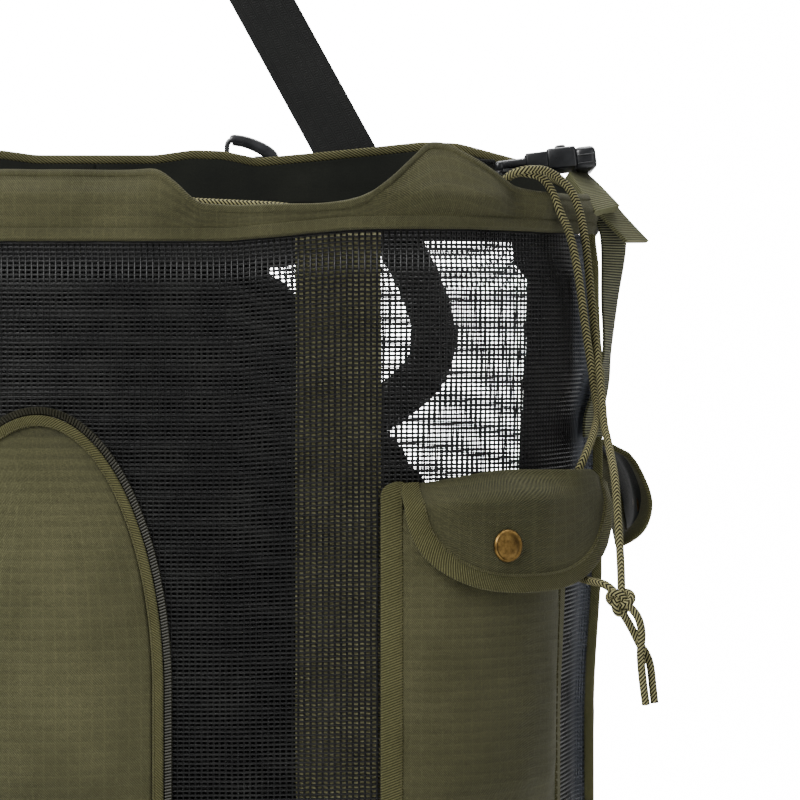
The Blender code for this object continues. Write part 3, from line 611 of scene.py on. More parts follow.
# Net walls: coated open mesh in front, at the sides and behind, with cells of 2.7 by 2.05 mm. The threads
# are real ones: one thread is repeated by an array, and the sheet of threads is then bent round the outline.
NET_THREAD = 0.00112
BACK_THREAD = 0.00082
CELL_WIDTH = 0.0027
CELL_HEIGHT = 0.00205
NET_LOW = BAND_TOP + 0.0004
NET_TOP = 0.385
BACK_NET_TOP = 0.4135
SEAM_LEAN = 0.020
# Length along the outline, height of the seam where the collar is sewn on
SEAM_HEIGHT = [
    (0.085, 0.3805),
    (FRONT_FLAT, 0.3855),
    (AT_FLANK, 0.3875),
    (AT_SIDE, 0.3920),
    (AT_BACK, 0.4140),
]


def seam_height(s):
    return table(SEAM_HEIGHT, abs(s))


def band_edge(height):
    """Where the corner webbing ends by the back: it widens a little as it sinks, and in a patch at its top."""
    patch = 0.0078 * ease((height - 0.372) / 0.012)
    return BACK_FLAT + 0.0038 - 0.0042 * ease((0.372 - height) / 0.100) - patch


net_look = bpy.data.materials.new("coated_net")
net_look.use_nodes = True
tree = net_look.node_tree
around = add_node(tree, "TexCoord").outputs["Object"]
scuff = add_node(tree, "TexNoise", {"Vector": around, "Scale": 55.0, "Detail": 4.0}).outputs[0]
net_tone = mix_colours(tree, add_node(tree, "MapRange", {0: scuff, 1: 0.4, 2: 0.7}).outputs[0],
                       (0.0018, 0.0018, 0.0018, 1), (0.0060, 0.0060, 0.0054, 1))
# Painted highlight: towards the flanks the threads' colour turns a light blue-grey, standing in for the light
# that glints on them there
off_middle = maths(tree, "ABSOLUTE", add_node(tree, "SeparateXYZ", {0: around}).outputs[0])
flank_highlight_paint = add_node(tree, "MapRange", {0: off_middle, 1: 0.2425, 2: 0.2500}).outputs[0]
tree.links.new(mix_colours(tree, flank_highlight_paint, net_tone, (0.060, 0.066, 0.078, 1)),
               tree.nodes["Principled BSDF"].inputs["Base Color"])
net_gloss = add_node(tree, "MapRange", {0: scuff, 3: 0.20, 4: 0.38}).outputs[0]
tree.links.new(net_gloss, tree.nodes["Principled BSDF"].inputs["Roughness"])
tree.nodes["Principled BSDF"].inputs["Specular IOR Level"].default_value = 0.32


def threads(length, pieces, count, pitch, upright, thick):
    """Parallel threads as one mesh: a thin cone of even width, cut along its length and arrayed."""
    bm = bmesh.new()
    bmesh.ops.create_cone(bm, cap_ends=True, segments=5, radius1=thick / 2, radius2=thick / 2, depth=length)
    long_edges = [e for e in bm.edges if abs(e.verts[0].co.z - e.verts[1].co.z) > length / 2]
    if pieces > 1:
        bmesh.ops.subdivide_edges(bm, edges=long_edges, cuts=pieces - 1)
    if not upright:
        bmesh.ops.rotate(bm, verts=bm.verts, cent=(0, 0, 0), matrix=Matrix.Rotation(pi / 2, 3, "Y"))
    mesh = bpy.data.meshes.new("thread")
    bm.to_mesh(mesh)
    bm.free()
    one = bpy.data.objects.new("thread", mesh)
    scene.collection.objects.link(one)
    row = one.modifiers.new("row", "ARRAY")
    row.count = count
    row.use_relative_offset = False
    row.use_constant_offset = True
    row.constant_offset_displace = (pitch, 0, 0) if upright else (0, 0, pitch)
    many = bmesh.new()
    many.from_object(one, bpy.context.evaluated_depsgraph_get())
    bpy.data.objects.remove(one, do_unlink=True)
    return many


def net_wall(name, node, first, last, pieces, low, high, place, thick=NET_THREAD):
    """place(along, height) puts a flat net's point on the bag; high is its height before its top is fitted."""
    width, height = last - first, high - low
    across = round(width / CELL_WIDTH)
    up = round(height / CELL_HEIGHT)
    flat_net = bmesh.new()
    rows = threads(width, pieces, up + 1, height / up, False, thick)
    columns = threads(height, 14, across + 1, width / across, True, thick)
    for sheet, shift in ((rows, (first + width / 2, 0, low)), (columns, (first, 0, low + height / 2))):
        bmesh.ops.translate(sheet, verts=sheet.verts, vec=shift)
        mesh = bpy.data.meshes.new("sheet")
        sheet.to_mesh(mesh)
        sheet.free()
        flat_net.from_mesh(mesh)
        bpy.data.meshes.remove(mesh)
    for vert in flat_net.verts:
        s, out, up_at = vert.co.x, vert.co.y, vert.co.z
        shake = 0.00022 * noise.noise(Vector((s * 130, up_at * 130, 5.0)))
        vert.co = place(s + shake, up_at - shake, out)
    bmesh.ops.recalc_face_normals(flat_net, faces=flat_net.faces)
    finish(name, flat_net, net_look, [node], sharp=180)


def seam_at(height):
    """The side seam runs straight up, then a little forward as it nears the collar."""
    return AT_SEAM - SEAM_LEAN * ease((height - 0.290) / 0.07)


def below_collar(s, height, out):
    """Front and side nets turn out where they meet, into the tape that binds them."""
    t = (height - NET_LOW) / (NET_TOP - NET_LOW)
    from_seam = abs(abs(s) - seam_at(height))
    flare = (0.0042 - 0.0034 * ease((height - 0.29) / 0.05)) * max(1 - from_seam / 0.013, 0) ** 1.5
    return wall(s, NET_LOW + (seam_height(s) - 0.0006 - NET_LOW) * t, out + flare)


net_wall("front_net_threads", "front_net", -AT_SEAM + 0.0006, AT_SEAM - 0.0006, 64, NET_LOW, NET_TOP,
         below_collar)
for side, word in ((1, "right"), (-1, "left")):
    ends = sorted(((AT_SEAM + 0.0006) * side, (AT_BAND - 0.0006) * side))
    net_wall(f"side_net_threads_{word}", f"side_net_{word}", *ends, 14, NET_LOW, NET_TOP, below_collar)


def across_back(x, height, out):
    return wall(back_at(x * (band_edge(height) - 0.0005)), height, out)


NET_BACK_HALF = BACK_FLAT - 0.0025
net_wall("back_net_threads", "back_net", -NET_BACK_HALF, NET_BACK_HALF, 12, NET_LOW, BACK_NET_TOP,
         lambda x, height, out: across_back(x / NET_BACK_HALF, height, out), thick=BACK_THREAD)


# Corner bands: flat black webbing sewn up the two back corners, between the side nets and the back net.
# A patch widens each of them near its top, where the straps pull.
black_tape = fabric("black_webbing", (0.005, 0.005, 0.0055, 1), (0.011, 0.011, 0.011, 1),
                    ribs(0.0013, 0.0022, 0.5), depth=0.0003, roughness=0.8)
CORNER_TOP = 0.4137
for side, word in ((1, "right"), (-1, "left")):
    def corner_band(u, v, side=side):
        height = between(BAND_TOP + 0.0003, CORNER_TOP, v)
        edge = HALF_ROUND - band_edge(height)
        s = between(AT_BAND + 0.0002, edge, u)
        return wall(s * side, min(height, seam_height(s) - 0.0003), rumple(s * side, height, 9.0, 0.25))

    def corner_flat(u, v):
        return between(BAND_TOP, CORNER_TOP, v), u * 0.04

    finish(f"corner_webbing_{word}", grid_cloth(22, 90, corner_band, corner_flat), black_tape,
           [f"corner_band_{word}"], thickness=0.0015)


def top_hem(u, v):
    x = between(-1, 1, u) * (band_edge(0.4) + 0.004)
    low = 0.3950 - 0.0135 * (1 - ease((abs(x) - 0.115) / 0.020))
    height = between(low, 0.4132, v)
    return wall(back_at(x + 1e-6), height, -0.0016 + rumple(x, height, 13.0, 0.2))


# The same webbing binds the back net's top edge from the inside
finish("back_hem_tape", grid_cloth(90, 8, top_hem, lambda u, v: (0.45 * u, 0.018 * v)), black_tape,
       thickness=0.0012)


# Side seams: the edges of the front and side nets meet in olive twill tape that stands out from the wall.
# The tape is folded over the net's edges and stitched through.
twill = fabric("olive_twill", (0.066, 0.064, 0.024, 1), (0.098, 0.094, 0.039, 1), ribs(0.0012, 1.0, 0.9),
               depth=0.00035, gap_shade=0.32, crisp=0.12)
# Painted light: the side seam tape gets a lighter copy of the twill, for the side light it catches where it is
# seen edge-on
painted_light_seam_twill = fabric("olive_seam_twill_painted_light", (0.120, 0.118, 0.050, 1), (0.165, 0.160, 0.072, 1),
                    ribs(0.0012, 1.0, 0.9), depth=0.00035, gap_shade=0.32, crisp=0.12)
for side, word in ((1, "right"), (-1, "left")):
    heights = steps(BAND_TOP + 0.0003, seam_height(AT_SEAM) - 0.0003, 80)
    wander = [seam_at(h) * side + 0.0006 * noise.noise(Vector((0, h * 25, 2.0 + side))) for h in heights]
    near_edge = [wall(s, h, 0.0038 - 0.0030 * ease((h - 0.29) / 0.05)) for h, s in zip(heights, wander)]
    free_edge = [wall(s, h, 0.0088 - 0.0030 * ease((h - 0.29) / 0.05)) for h, s in zip(heights, wander)]
    finish(f"seam_tape_{word}", band(near_edge, free_edge, 0.0028, sides=14), painted_light_seam_twill,
           [f"seam_binding_{word}"])


# Webbing strips: two lengths of 38 mm olive webbing behind the front net, from the tray to the collar.
# Their threads stand out in a coarse basket weave; their colour is painted light, far paler than the side
# straps, against the net's shadow.
painted_light_strip_tape = fabric("strip_webbing_painted_light", (0.580, 0.555, 0.300, 1), (0.700, 0.670, 0.375, 1),
                    ribs(0.0022, 0.0030, 0.35), depth=0.0007, gap_shade=0.35)
STRIP_AT = 0.134
STRIP_HALF = 0.0192
for side, word in ((1, "right"), (-1, "left")):
    def strip(u, v, side=side):
        s = STRIP_AT + between(-STRIP_HALF, STRIP_HALF, u)
        low = BAND_TOP + 0.0003
        height = low + (seam_height(s) - 0.0003 - low) * v
        sway = 0.0005 * noise.noise(Vector((0, height * 20, side)))
        return wall((s + sway) * side, height, -0.0016)

    finish(f"webbing_strip_{word}",
           grid_cloth(20, 90, strip, lambda u, v: (0.29 * v, STRIP_HALF * 2 * u)), painted_light_strip_tape,
           [f"web_strip_{word}"], thickness=0.0013)


# Collar: a ring of olive ripstop, gathered by the drawcord, that stands up from the bag's top edge. It dips
# beside the middle, folds into a flat-topped peak at each front corner and climbs to the bound back rim.
RIM_HEIGHT = [
    (0.0540, 0.4125), (0.0616, 0.4063), (0.0718, 0.3969), (0.0900, 0.3960), (0.1250, 0.3969),
    (FRONT_FLAT, 0.3981), (0.1465, 0.4005), (0.1557, 0.4076), (0.1663, 0.4168), (0.1770, 0.4258),
    (0.1862, 0.4258), (0.2062, 0.4156), (0.2170, 0.4102), (AT_FLANK, 0.4080), (0.2388, 0.4059),
    (0.2700, 0.4072), (0.3100, 0.4106), (AT_SIDE, 0.4125), (0.3700, 0.4170), (0.3950, 0.4280),
    (AT_BACK, 0.4375),
    (0.4500, 0.4465), (0.4696, 0.4471), (0.4940, 0.4445), (0.5270, 0.4413), (0.5570, 0.4386),
    (0.5740, 0.4423), (0.5910, 0.4429), (0.6100, 0.4402),
]
RIM_TAPE = 0.0050
BOUND_FROM = 0.345
RIDGE_HEIGHT = 0.4020
lining = fabric("grey_green_lining", (0.005, 0.006, 0.004, 1), (0.010, 0.011, 0.0075, 1),
                ripstop(0.0007, 0.005), depth=0.00012, gap_shade=0.8, roughness=0.8)


def rim_height(s):
    """The rim's height with its corners softened."""
    d = min(abs(s), 2 * HALF_ROUND - abs(s))
    return sum(table(RIM_HEIGHT, d + shift) for shift in (-0.003, -0.0015, 0, 0.0015, 0.003)) / 5


def collar_fold(s, height, t):
    """How far the collar stands off the wall: a ridge along the front, pleats by the dips, full sides."""
    d = abs(s)
    in_front = 1 - ease((d - 0.26) / 0.06)
    low = seam_height(s)
    ridge_out = 0.0046 + 0.0020 * noise.noise(Vector((s * 24, 0, 1.0)))
    below = ease((height - low) / (RIDGE_HEIGHT - low))
    above = max(height - RIDGE_HEIGHT, 0) * 0.42
    roll = (ridge_out * below - above) * in_front
    pleat = 0.0016 * sin(d * 2 * pi / 0.047) * t * (1 - ease((d - 0.24) / 0.05))
    crease = 0.0011 * (0.5 - abs(noise.noise(Vector((s * 46, height * 60, 11.0))))) * in_front
    at_eyelet = ease(abs(d - AT_FLANK) / 0.018)
    lean = 0.0080 * t * (1 - ease((d - 0.036) / 0.022))
    bulge = 0.0040 * sin(pi * min(t, 1)) * ease((d - 0.26) / 0.04) * (1 - ease((d - 0.345) / 0.02))
    loose = rumple(s, height, 6.0, 0.7) * sin(pi * min(t, 1)) ** 0.5
    return (roll + pleat + crease) * at_eyelet + bulge - lean + loose


def collar_place(u, v):
    s = between(-HALF_ROUND, HALF_ROUND, u)
    low = seam_height(s) + 0.0004
    hem = RIM_TAPE * 0.9 if abs(s) >= BOUND_FROM else 0
    height = low + (rim_height(s) - hem - low) * v
    return wall(s, height, collar_fold(s, height, v))


def collar_flat(u, v):
    return between(-HALF_ROUND, HALF_ROUND, u), 0.03 * v


collar = finish("collar_cloth", grid_cloth(560, 18, collar_place, collar_flat, ring=True), canvas,
                ["collar"], thickness=0.0019, lining=lining)


def collar_roll(name, top, bottom, thick, out):
    """A strip of the collar's own cloth along its front, between two heights given for each place."""
    run = steps(-BOUND_FROM, BOUND_FROM, 300)
    ends = [[], []]
    for s in run:
        low, high = seam_height(s) + 0.0004, rim_height(s)
        for line, height in zip(ends, (top(low, high), bottom(low, high))):
            line.append(wall(s, height, collar_fold(s, height, (height - low) / (high - low)) + out))
    return finish(name, band(*ends, thick, sides=12, boxy=0.7), canvas)


hem_roll = collar_roll("collar_front_hem", lambda low, high: high + 0.0006,
                       lambda low, high: high - 0.0030, 0.0032, 0.0)
turning = collar_roll("collar_turned_edge", lambda low, high: low + 0.0058,
                      lambda low, high: low + 0.0002, 0.0022, 0.0009)

# The back rim is bound in a thick roll of herringbone tape that sags a little between its stitches
herringbone = fabric("herringbone_tape", (0.085, 0.081, 0.033, 1), (0.135, 0.126, 0.055, 1),
                     ribs(0.0021, 1.0, 1.5), depth=0.0005, gap_shade=0.12, crisp=0.10)
rim_run = steps(BOUND_FROM, 2 * HALF_ROUND - BOUND_FROM, 300)
rim_top = [wall(s, rim_height(s), collar_fold(s, rim_height(s), 1)) for s in rim_run]
rim_low = [point - Vector((0, 0, RIM_TAPE)) for point in rim_top]
rim = finish("collar_rim_tape", band(rim_top, rim_low, 0.0034, sides=14, boxy=0.7), herringbone,
             ["collar_binding"])


# Arched pocket: an olive ripstop panel that swells from the front net, bound in twill, with a coil zip round
# its outer edge and a slider at the lower end.
ARCH_HALF = 0.060
ARCH_LOW = 0.100
ARCH_SPRING = 0.181
ARCH_RISE = 0.126


def arch(turn, inset):
    """A point of the arch's outline: below 0 and above pi it runs on down the straight sides."""
    half, rise = ARCH_HALF - inset, ARCH_RISE - inset
    if turn < 0:
        return -half, ARCH_SPRING + (ARCH_SPRING - ARCH_LOW) * turn
    if turn > pi:
        return half, ARCH_SPRING - (ARCH_SPRING - ARCH_LOW) * (turn - pi)
    return -half * cos(turn), ARCH_SPRING + rise * sin(turn)


def arch_line(inset, out, count=170):
    return [wall(*arch(turn, inset), out) for turn in steps(-1, pi + 1, count)]


zip_tape = fabric("zip_tape", (0.016, 0.016, 0.008, 1), (0.026, 0.025, 0.013, 1), ribs(0.0010), roughness=0.8)
zip_coil = bpy.data.materials.new("zip_coil")
zip_coil.use_nodes = True
tree = zip_coil.node_tree
around = add_node(tree, "TexCoord").outputs["Object"]
rubbed = add_node(tree, "TexNoise", {"Vector": around, "Scale": 220.0, "Detail": 3.0}).outputs[0]
tree.links.new(mix_colours(tree, rubbed, (0.008, 0.008, 0.005, 1), (0.028, 0.026, 0.013, 1)),
               tree.nodes["Principled BSDF"].inputs["Base Color"])
tree.nodes["Principled BSDF"].inputs["Roughness"].default_value = 0.42
tree.nodes["Principled BSDF"].inputs["Specular IOR Level"].default_value = 0.2
finish("arch_zip_tape", band(arch_line(0.0, 0.0014), arch_line(0.0034, 0.0014), 0.0012), zip_tape,
       ["arch_zipper"])
coil_line = even_points(arch_line(0.0017, 0.0026), 340)
coil_bm = bmesh.new()
for i, spot in enumerate(coil_line[:-1]):
    along = (coil_line[i + 1] - spot).normalized()
    out = Vector((0, -1, 0))
    frame_axes = Matrix((along, out.cross(along), out)).transposed().to_4x4()
    tooth = Matrix.Translation(spot) @ frame_axes @ Matrix.Rotation(radians(12), 4, "Z")
    bmesh.ops.create_cone(coil_bm, cap_ends=True, segments=6, radius1=0.00052, radius2=0.00044, depth=0.0030,
                          matrix=tooth @ Matrix.Rotation(pi / 2, 4, "X"))
finish("arch_zip_coil", coil_bm, zip_coil)
finish("arch_pocket_tape", band(arch_line(0.0037, 0.0024), arch_line(0.0088, 0.0026), 0.0028, sides=14), twill,
       ["arch_pocket_binding"])
PANEL_INSET = 0.0086


def arch_panel(u, v):
    half, rise = ARCH_HALF - PANEL_INSET, ARCH_RISE - PANEL_INSET
    high = ARCH_SPRING + rise
    t = sin(v * pi / 2)
    height = between(ARCH_LOW, high - 0.0004, t)
    up = max(height - ARCH_SPRING, 0) / rise
    reach = half * max(1 - up * up, 0.0) ** 0.5
    across = between(-1, 1, u)
    swell = (1 - across * across) * min(ease((height - ARCH_LOW) / 0.05), ease((high - height) / 0.07))
    x = across * reach
    dents = rumple(x, height, 15.0, 1.2) * min(1, 6 * swell)
    return wall(x, height, 0.0021 + 0.0140 * swell + dents)


def arch_flat(u, v):
    return 0.1 * u, 0.2 * sin(v * pi / 2)


# Painted light: the arched pocket's panel gets a lighter copy of the olive canvas, for the stronger light that
# falls on it
painted_light_arch_canvas = fabric("olive_arch_canvas_painted_light", (0.070, 0.069, 0.031, 1), (0.108, 0.105, 0.050, 1), ripstop(0.0010),
                     depth=0.0004, gap_shade=0.30)
finish("arch_pocket_cloth", grid_cloth(48, 84, arch_panel, arch_flat), painted_light_arch_canvas,
       ["arch_pocket_panel"], thickness=0.0014, lining=lining)


# Corner and side pockets: ripstop pouches bound in twill on three sides, each with a flap whose rounded edge
# is bound too and closes on a brass snap. The flaps roll out from their seams and stand off the wall.
brass = bpy.data.materials.new("aged_brass")
brass.use_nodes = True
tree = brass.node_tree
around = add_node(tree, "TexCoord").outputs["Object"]
tarnish = add_node(tree, "TexNoise", {"Vector": around, "Scale": 420.0, "Detail": 5.0,
                                      "Roughness": 0.65}).outputs[0]
shader = tree.nodes["Principled BSDF"]
tree.links.new(mix_colours(tree, add_node(tree, "MapRange", {0: tarnish, 1: 0.35, 2: 0.7}).outputs[0],
                           (0.22, 0.135, 0.040, 1), (0.085, 0.050, 0.016, 1)), shader.inputs["Base Color"])
dulled = add_node(tree, "MapRange", {0: tarnish, 3: 0.28, 4: 0.55}).outputs[0]
tree.links.new(dulled, shader.inputs["Roughness"])
shader.inputs["Metallic"].default_value = 1.0


def flap_edge(turn, half, depth):
    """A blunt half oval: turn runs from -1 at the left end of the seam to 1 at the right."""
    angle = turn * pi / 2
    power = 2 / 2.6 if half > 0.040 else 2 / 3.6
    return blunted(sin(angle), power) * half, abs(cos(angle)) ** power * depth


def corner_stand(across, drop):
    """The corner flap rolls off the wall and stands free at its outer end."""
    seam = 0.0022 + 0.0190 * ease((across - 0.50) / 0.28)
    full = 0.0090 + 0.0070 * ease(across / 0.2) + 0.0090 * max(across - 0.2, 0) / 0.8
    return seam + (max(full, seam) - seam) * ease(drop / 0.013)


# How far the side flap stands off the wall, by the drop below its seam
SIDE_STAND = [
    (-0.003, 0.0), (0.000, 0.0030), (0.003, 0.0160), (0.007, 0.0215), (0.014, 0.0262), (0.020, 0.0296),
    (0.027, 0.0320), (0.034, 0.0330), (0.040, 0.0322), (0.047, 0.0296), (0.052, 0.0255), (0.058, 0.0180),
]


def side_stand(across, drop):
    """The side flap stands over the pocket like a hood: its end by the front flares out the most."""
    full = sum(table(SIDE_STAND, drop + shift) for shift in (-0.003, 0, 0.003)) / 3
    return full * (1 - 0.22 * ease(across / 0.30))


def flap_dip(across):
    """How far the corner flap's seam dips at its inner end, and rounds off at its outer one."""
    return 0.0055 * (1 - ease(across / 0.5)) + 0.0080 * ease((across - 0.80) / 0.20) ** 1.5


# left, right, low, high, swell and lift of the pouch, how far its tape runs on under the flap; then the left,
# right, top and depth of the flap, and how it stands off the wall
pockets = {
    "corner": (0.1525, 0.2685, 0.100, 0.262, 0.0090, 0.0, 0.0110, 0.1612, 0.272, 0.278, 0.055, corner_stand),
    "side": (0.3265, 0.3880, 0.100, 0.270, 0.0060, 0.0006, 0.0, 0.3245, 0.3890, 0.290, 0.055, side_stand),
}
TAPE_WIDTH = 0.0100
TOP_ROUND = 0.006
LOW_ROUND = 0.014
HEM = 0.0088
SEAM_IN = 0.0012
pocket_seams = {"corner": [], "side": []}
for kind, sizes in pockets.items():
    left, right, low, high, swell, lift, rise_under_flap = sizes[:7]
    flap_left, flap_right, flap_top, flap_depth, stand = sizes[7:]
    middle, half = (left + right) / 2, (right - left) / 2
    flap_middle, flap_half = (flap_left + flap_right) / 2, (flap_right - flap_left) / 2
    for side, word in ((1, "right"), (-1, "left")):
        def pouch(u, v):
            across = between(-1, 1, u)
            height = low + TAPE_WIDTH * 0.9 + (high - low - TAPE_WIDTH) * v
            rise = (1 - abs(across) ** 2.5) * ease(v / 0.22)
            x = (half - TAPE_WIDTH * 0.9) * across
            sag = rumple(side * x, height, 20.0 + half * 100, 1.3) * min(1, 4 * rise)
            return wall(side * (middle + x), height, 0.0021 + lift + swell * rise + sag)

        def pouch_flat(u, v):
            return 2 * half * u, (high - low) * v

        finish(f"{kind}_pouch_{word}", grid_cloth(44, 60, pouch, pouch_flat), canvas,
               [f"{kind}_pocket_{word}"], thickness=0.0014, lining=lining)

        top = high + rise_under_flap
        turns, sides_down, bottom = steps(0, pi / 2, 8), steps(0, 1, 40)[1:], steps(0, 1, 20)[1:]
        run = [(-half + TOP_ROUND * (1 - sin(t)), top - TOP_ROUND * (1 - cos(t))) for t in turns]
        run += [(-half, between(top - TOP_ROUND, low + LOW_ROUND, t)) for t in sides_down]
        run += [(-half + LOW_ROUND * (1 - cos(t)), low + LOW_ROUND * (1 - sin(t))) for t in turns[1:]]
        run += [(between(-half + LOW_ROUND, half - LOW_ROUND, t), low) for t in bottom]
        run += [(half - LOW_ROUND * (1 - sin(t)), low + LOW_ROUND * (1 - cos(t))) for t in turns[1:]]
        run += [(half, between(low + LOW_ROUND, top - TOP_ROUND, t)) for t in sides_down]
        run += [(half - TOP_ROUND * (1 - cos(t)), top - TOP_ROUND * (1 - sin(t))) for t in turns[1:]]
        outers, inners = [], []
        for x, height in run:
            near = half - TAPE_WIDTH
            inside = (min(max(x, -near), near), max(height, low + TAPE_WIDTH))
            outers.append(wall(side * (middle + x), height, 0.0019 + lift))
            inners.append(wall(side * (middle + inside[0]), inside[1], 0.0026 + lift))
        finish(f"{kind}_pouch_tape_{word}", band(outers, inners, 0.0021, sides=14), twill,
               [f"{kind}_pocket_binding_{word}"])

        def on_flap(x, drop, out=0.0):
            across = (x / flap_half + 1) / 2
            dent = rumple(side * x, drop, 31.0, 1.1) * ease(drop / 0.01)
            seam_dip = flap_dip(across) * (1 - drop / flap_depth) if kind == "corner" else 0.0
            return wall(side * (flap_middle + x), flap_top - seam_dip - drop, stand(across, drop) + dent + out)

        def flap(u, v):
            x, depth = flap_edge(between(-0.965, 0.965, u), flap_half - HEM * 0.8, flap_depth - HEM * 0.8)
            return on_flap(x, depth * v)

        def flap_flat(u, v):
            return 2 * flap_half * u, flap_depth * v

        finish(f"{kind}_flap_cloth_{word}", grid_cloth(48, 30, flap, flap_flat), canvas,
               [f"{kind}_flap_{word}"], thickness=0.0014, lining=lining)

        hem_out, hem_in = [], []
        for turn in steps(-1, 1, 110):
            hem_out.append(on_flap(*flap_edge(turn, flap_half, flap_depth)))
            hem_in.append(on_flap(*flap_edge(turn, flap_half - HEM, flap_depth - HEM)))
        finish(f"{kind}_flap_tape_{word}", band(hem_out, hem_in, 0.0030, sides=14, boxy=0.6), twill,
               [f"{kind}_flap_binding_{word}"])

        # Stitches run along the tapes, just in from their free edges
        flap_seam = [flap_edge(turn, flap_half - HEM + SEAM_IN, flap_depth - HEM + SEAM_IN)
                     for turn in steps(-0.97, 0.97, 60)]
        pocket_seams[kind].append([on_flap(x, drop, 0.0016) for x, drop in flap_seam])
        seam_half, seam_low = half - TAPE_WIDTH + SEAM_IN, low + TAPE_WIDTH - SEAM_IN
        pocket_seams[kind].append([wall(side * (middle + min(max(x, -seam_half), seam_half)),
                                        max(height, seam_low), 0.0036 + lift) for x, height in run])

        # The cap sits on the flap's outer face, square to it, inward of the middle
        cap_x, cap_drop = -0.0135, flap_depth * 0.60
        at = on_flap(cap_x, cap_drop)
        over = on_flap(cap_x + 0.004, cap_drop) - on_flap(cap_x - 0.004, cap_drop)
        down = on_flap(cap_x, cap_drop + 0.004) - on_flap(cap_x, cap_drop - 0.004)
        face = over.cross(down).normalized()
        if face.dot(wall(side * flap_middle, 0, 1) - wall(side * flap_middle, 0, 0)) < 0:
            face.negate()
        cap_bm = bmesh.new()
        profile = [(0.0, 0.0021), (0.0030, 0.0020), (0.0048, 0.00165), (0.0056, 0.00120), (0.0060, 0.00120),
                   (0.0068, 0.00155), (0.0074, 0.00100), (0.0075, 0.0004), (0.0070, 0.0)]
        rims = [cap_bm.verts.new((radius, 0, rise)) for radius, rise in profile]
        lines = [cap_bm.edges.new(pair) for pair in zip(rims, rims[1:])]
        bmesh.ops.spin(cap_bm, geom=rims + lines, cent=(0, 0, 0), axis=(0, 0, 1), angle=2 * pi, steps=40,
                       use_merge=True)
        bmesh.ops.remove_doubles(cap_bm, verts=cap_bm.verts, dist=0.00001)
        bmesh.ops.holes_fill(cap_bm, edges=[e for e in cap_bm.edges if e.is_boundary], sides=0)
        bmesh.ops.recalc_face_normals(cap_bm, faces=cap_bm.faces)
        turned = face.to_track_quat("Z", "Y").to_matrix().to_4x4()
        cap_seat = Matrix.Translation(at + face * (0.0008 if kind == "corner" else 0.0))
        bmesh.ops.transform(cap_bm, matrix=cap_seat @ turned, verts=cap_bm.verts)
        finish(f"{kind}_snap_cap_{word}", cap_bm, brass, [f"{kind}_snap_{word}"])


# Back pad: a black foam board in spacer cloth, cut narrower towards the top so that it clears the straps.
# Air pressure in a cloth simulation fills it out, and two sewn channels and a rolled edge are then drawn in.
PAD_OUT = 0.0048
PAD_THICK = 0.0048
PAD_SWELL = 0.0011
PAD_REACH = 0.0033
PAD_LOW = 0.022
PAD_TOP = 0.408
CHANNELS = (-0.068, 0.068)
VOXEL = 0.005
BLOWN_FRAMES = 20
# Height above the base, half width
PAD_HALF_WIDTH = [
    (0.020, 0.216), (0.030, 0.222), (0.210, 0.222), (0.275, 0.173), (0.306, 0.153), (0.376, 0.103),
    (0.382, 0.097), (0.387, 0.108), (0.410, 0.106),
]
spacer_cloth = fabric("black_padding", (0.0022, 0.0022, 0.0022, 1), (0.006, 0.006, 0.0055, 1),
                      ribs(0.0024, 0.0024, 1.0), depth=0.0005, gap_shade=0.5, roughness=0.9)


def pad_place(u, v):
    height = between(PAD_LOW, PAD_TOP, v)
    half = table(PAD_HALF_WIDTH, height) - 0.0015
    return wall(back_at(between(-half, half, u) + 1e-6), height, PAD_OUT)


pad_bm = grid_cloth(88, 78, pad_place, lambda u, v: (u, v))
bmesh.ops.solidify(pad_bm, geom=pad_bm.faces[:], thickness=PAD_THICK)
pad_y = sum(v.co.y for v in pad_bm.verts) / len(pad_bm.verts)
bmesh.ops.translate(pad_bm, verts=pad_bm.verts, vec=(0, BACK_Y + PAD_OUT - pad_y, 0))
bmesh.ops.recalc_face_normals(pad_bm, faces=pad_bm.faces)
pad_mesh = bpy.data.meshes.new("pad_form")
pad_bm.to_mesh(pad_mesh)
pad_form = bpy.data.objects.new("pad_form", pad_mesh)
scene.collection.objects.link(pad_form)
voxels = pad_form.modifiers.new("voxels", "REMESH")
voxels.mode = "VOXEL"
voxels.voxel_size = VOXEL
graph = bpy.context.evaluated_depsgraph_get()
blown_mesh = bpy.data.meshes.new_from_object(pad_form.evaluated_get(graph))
bpy.data.objects.remove(pad_form, do_unlink=True)
blown = bpy.data.objects.new("pad_blown", blown_mesh)
scene.collection.objects.link(blown)
rest = [vert.co.copy() for vert in blown_mesh.vertices]
cloth = blown.modifiers.new("cloth", "CLOTH")
cloth.settings.quality = 4
cloth.settings.mass = 0.3
cloth.settings.use_pressure = True
cloth.settings.uniform_pressure_force = 4.0
cloth.settings.effector_weights.gravity = 0
cloth.point_cache.frame_start = 1
cloth.point_cache.frame_end = BLOWN_FRAMES
for frame_number in range(1, BLOWN_FRAMES + 1):
    scene.frame_set(frame_number)
graph = bpy.context.evaluated_depsgraph_get()
swollen = bpy.data.meshes.new_from_object(blown.evaluated_get(graph))
pad_bm.free()
pad_bm = bmesh.new()
pad_bm.from_mesh(swollen)
pad_bm.verts.ensure_lookup_table()
for vert, start in zip(pad_bm.verts, rest):
    moved = vert.co - start
    if moved.length > PAD_SWELL:
        vert.co = start + moved.normalized() * PAD_SWELL
bpy.data.objects.remove(blown, do_unlink=True)
scene.frame_set(1)


def sewn_dent(distance, reach):
    """1 on a line of stitches, easing off to 0 beyond its reach."""
    return 2.718 ** -(distance / reach) ** 2


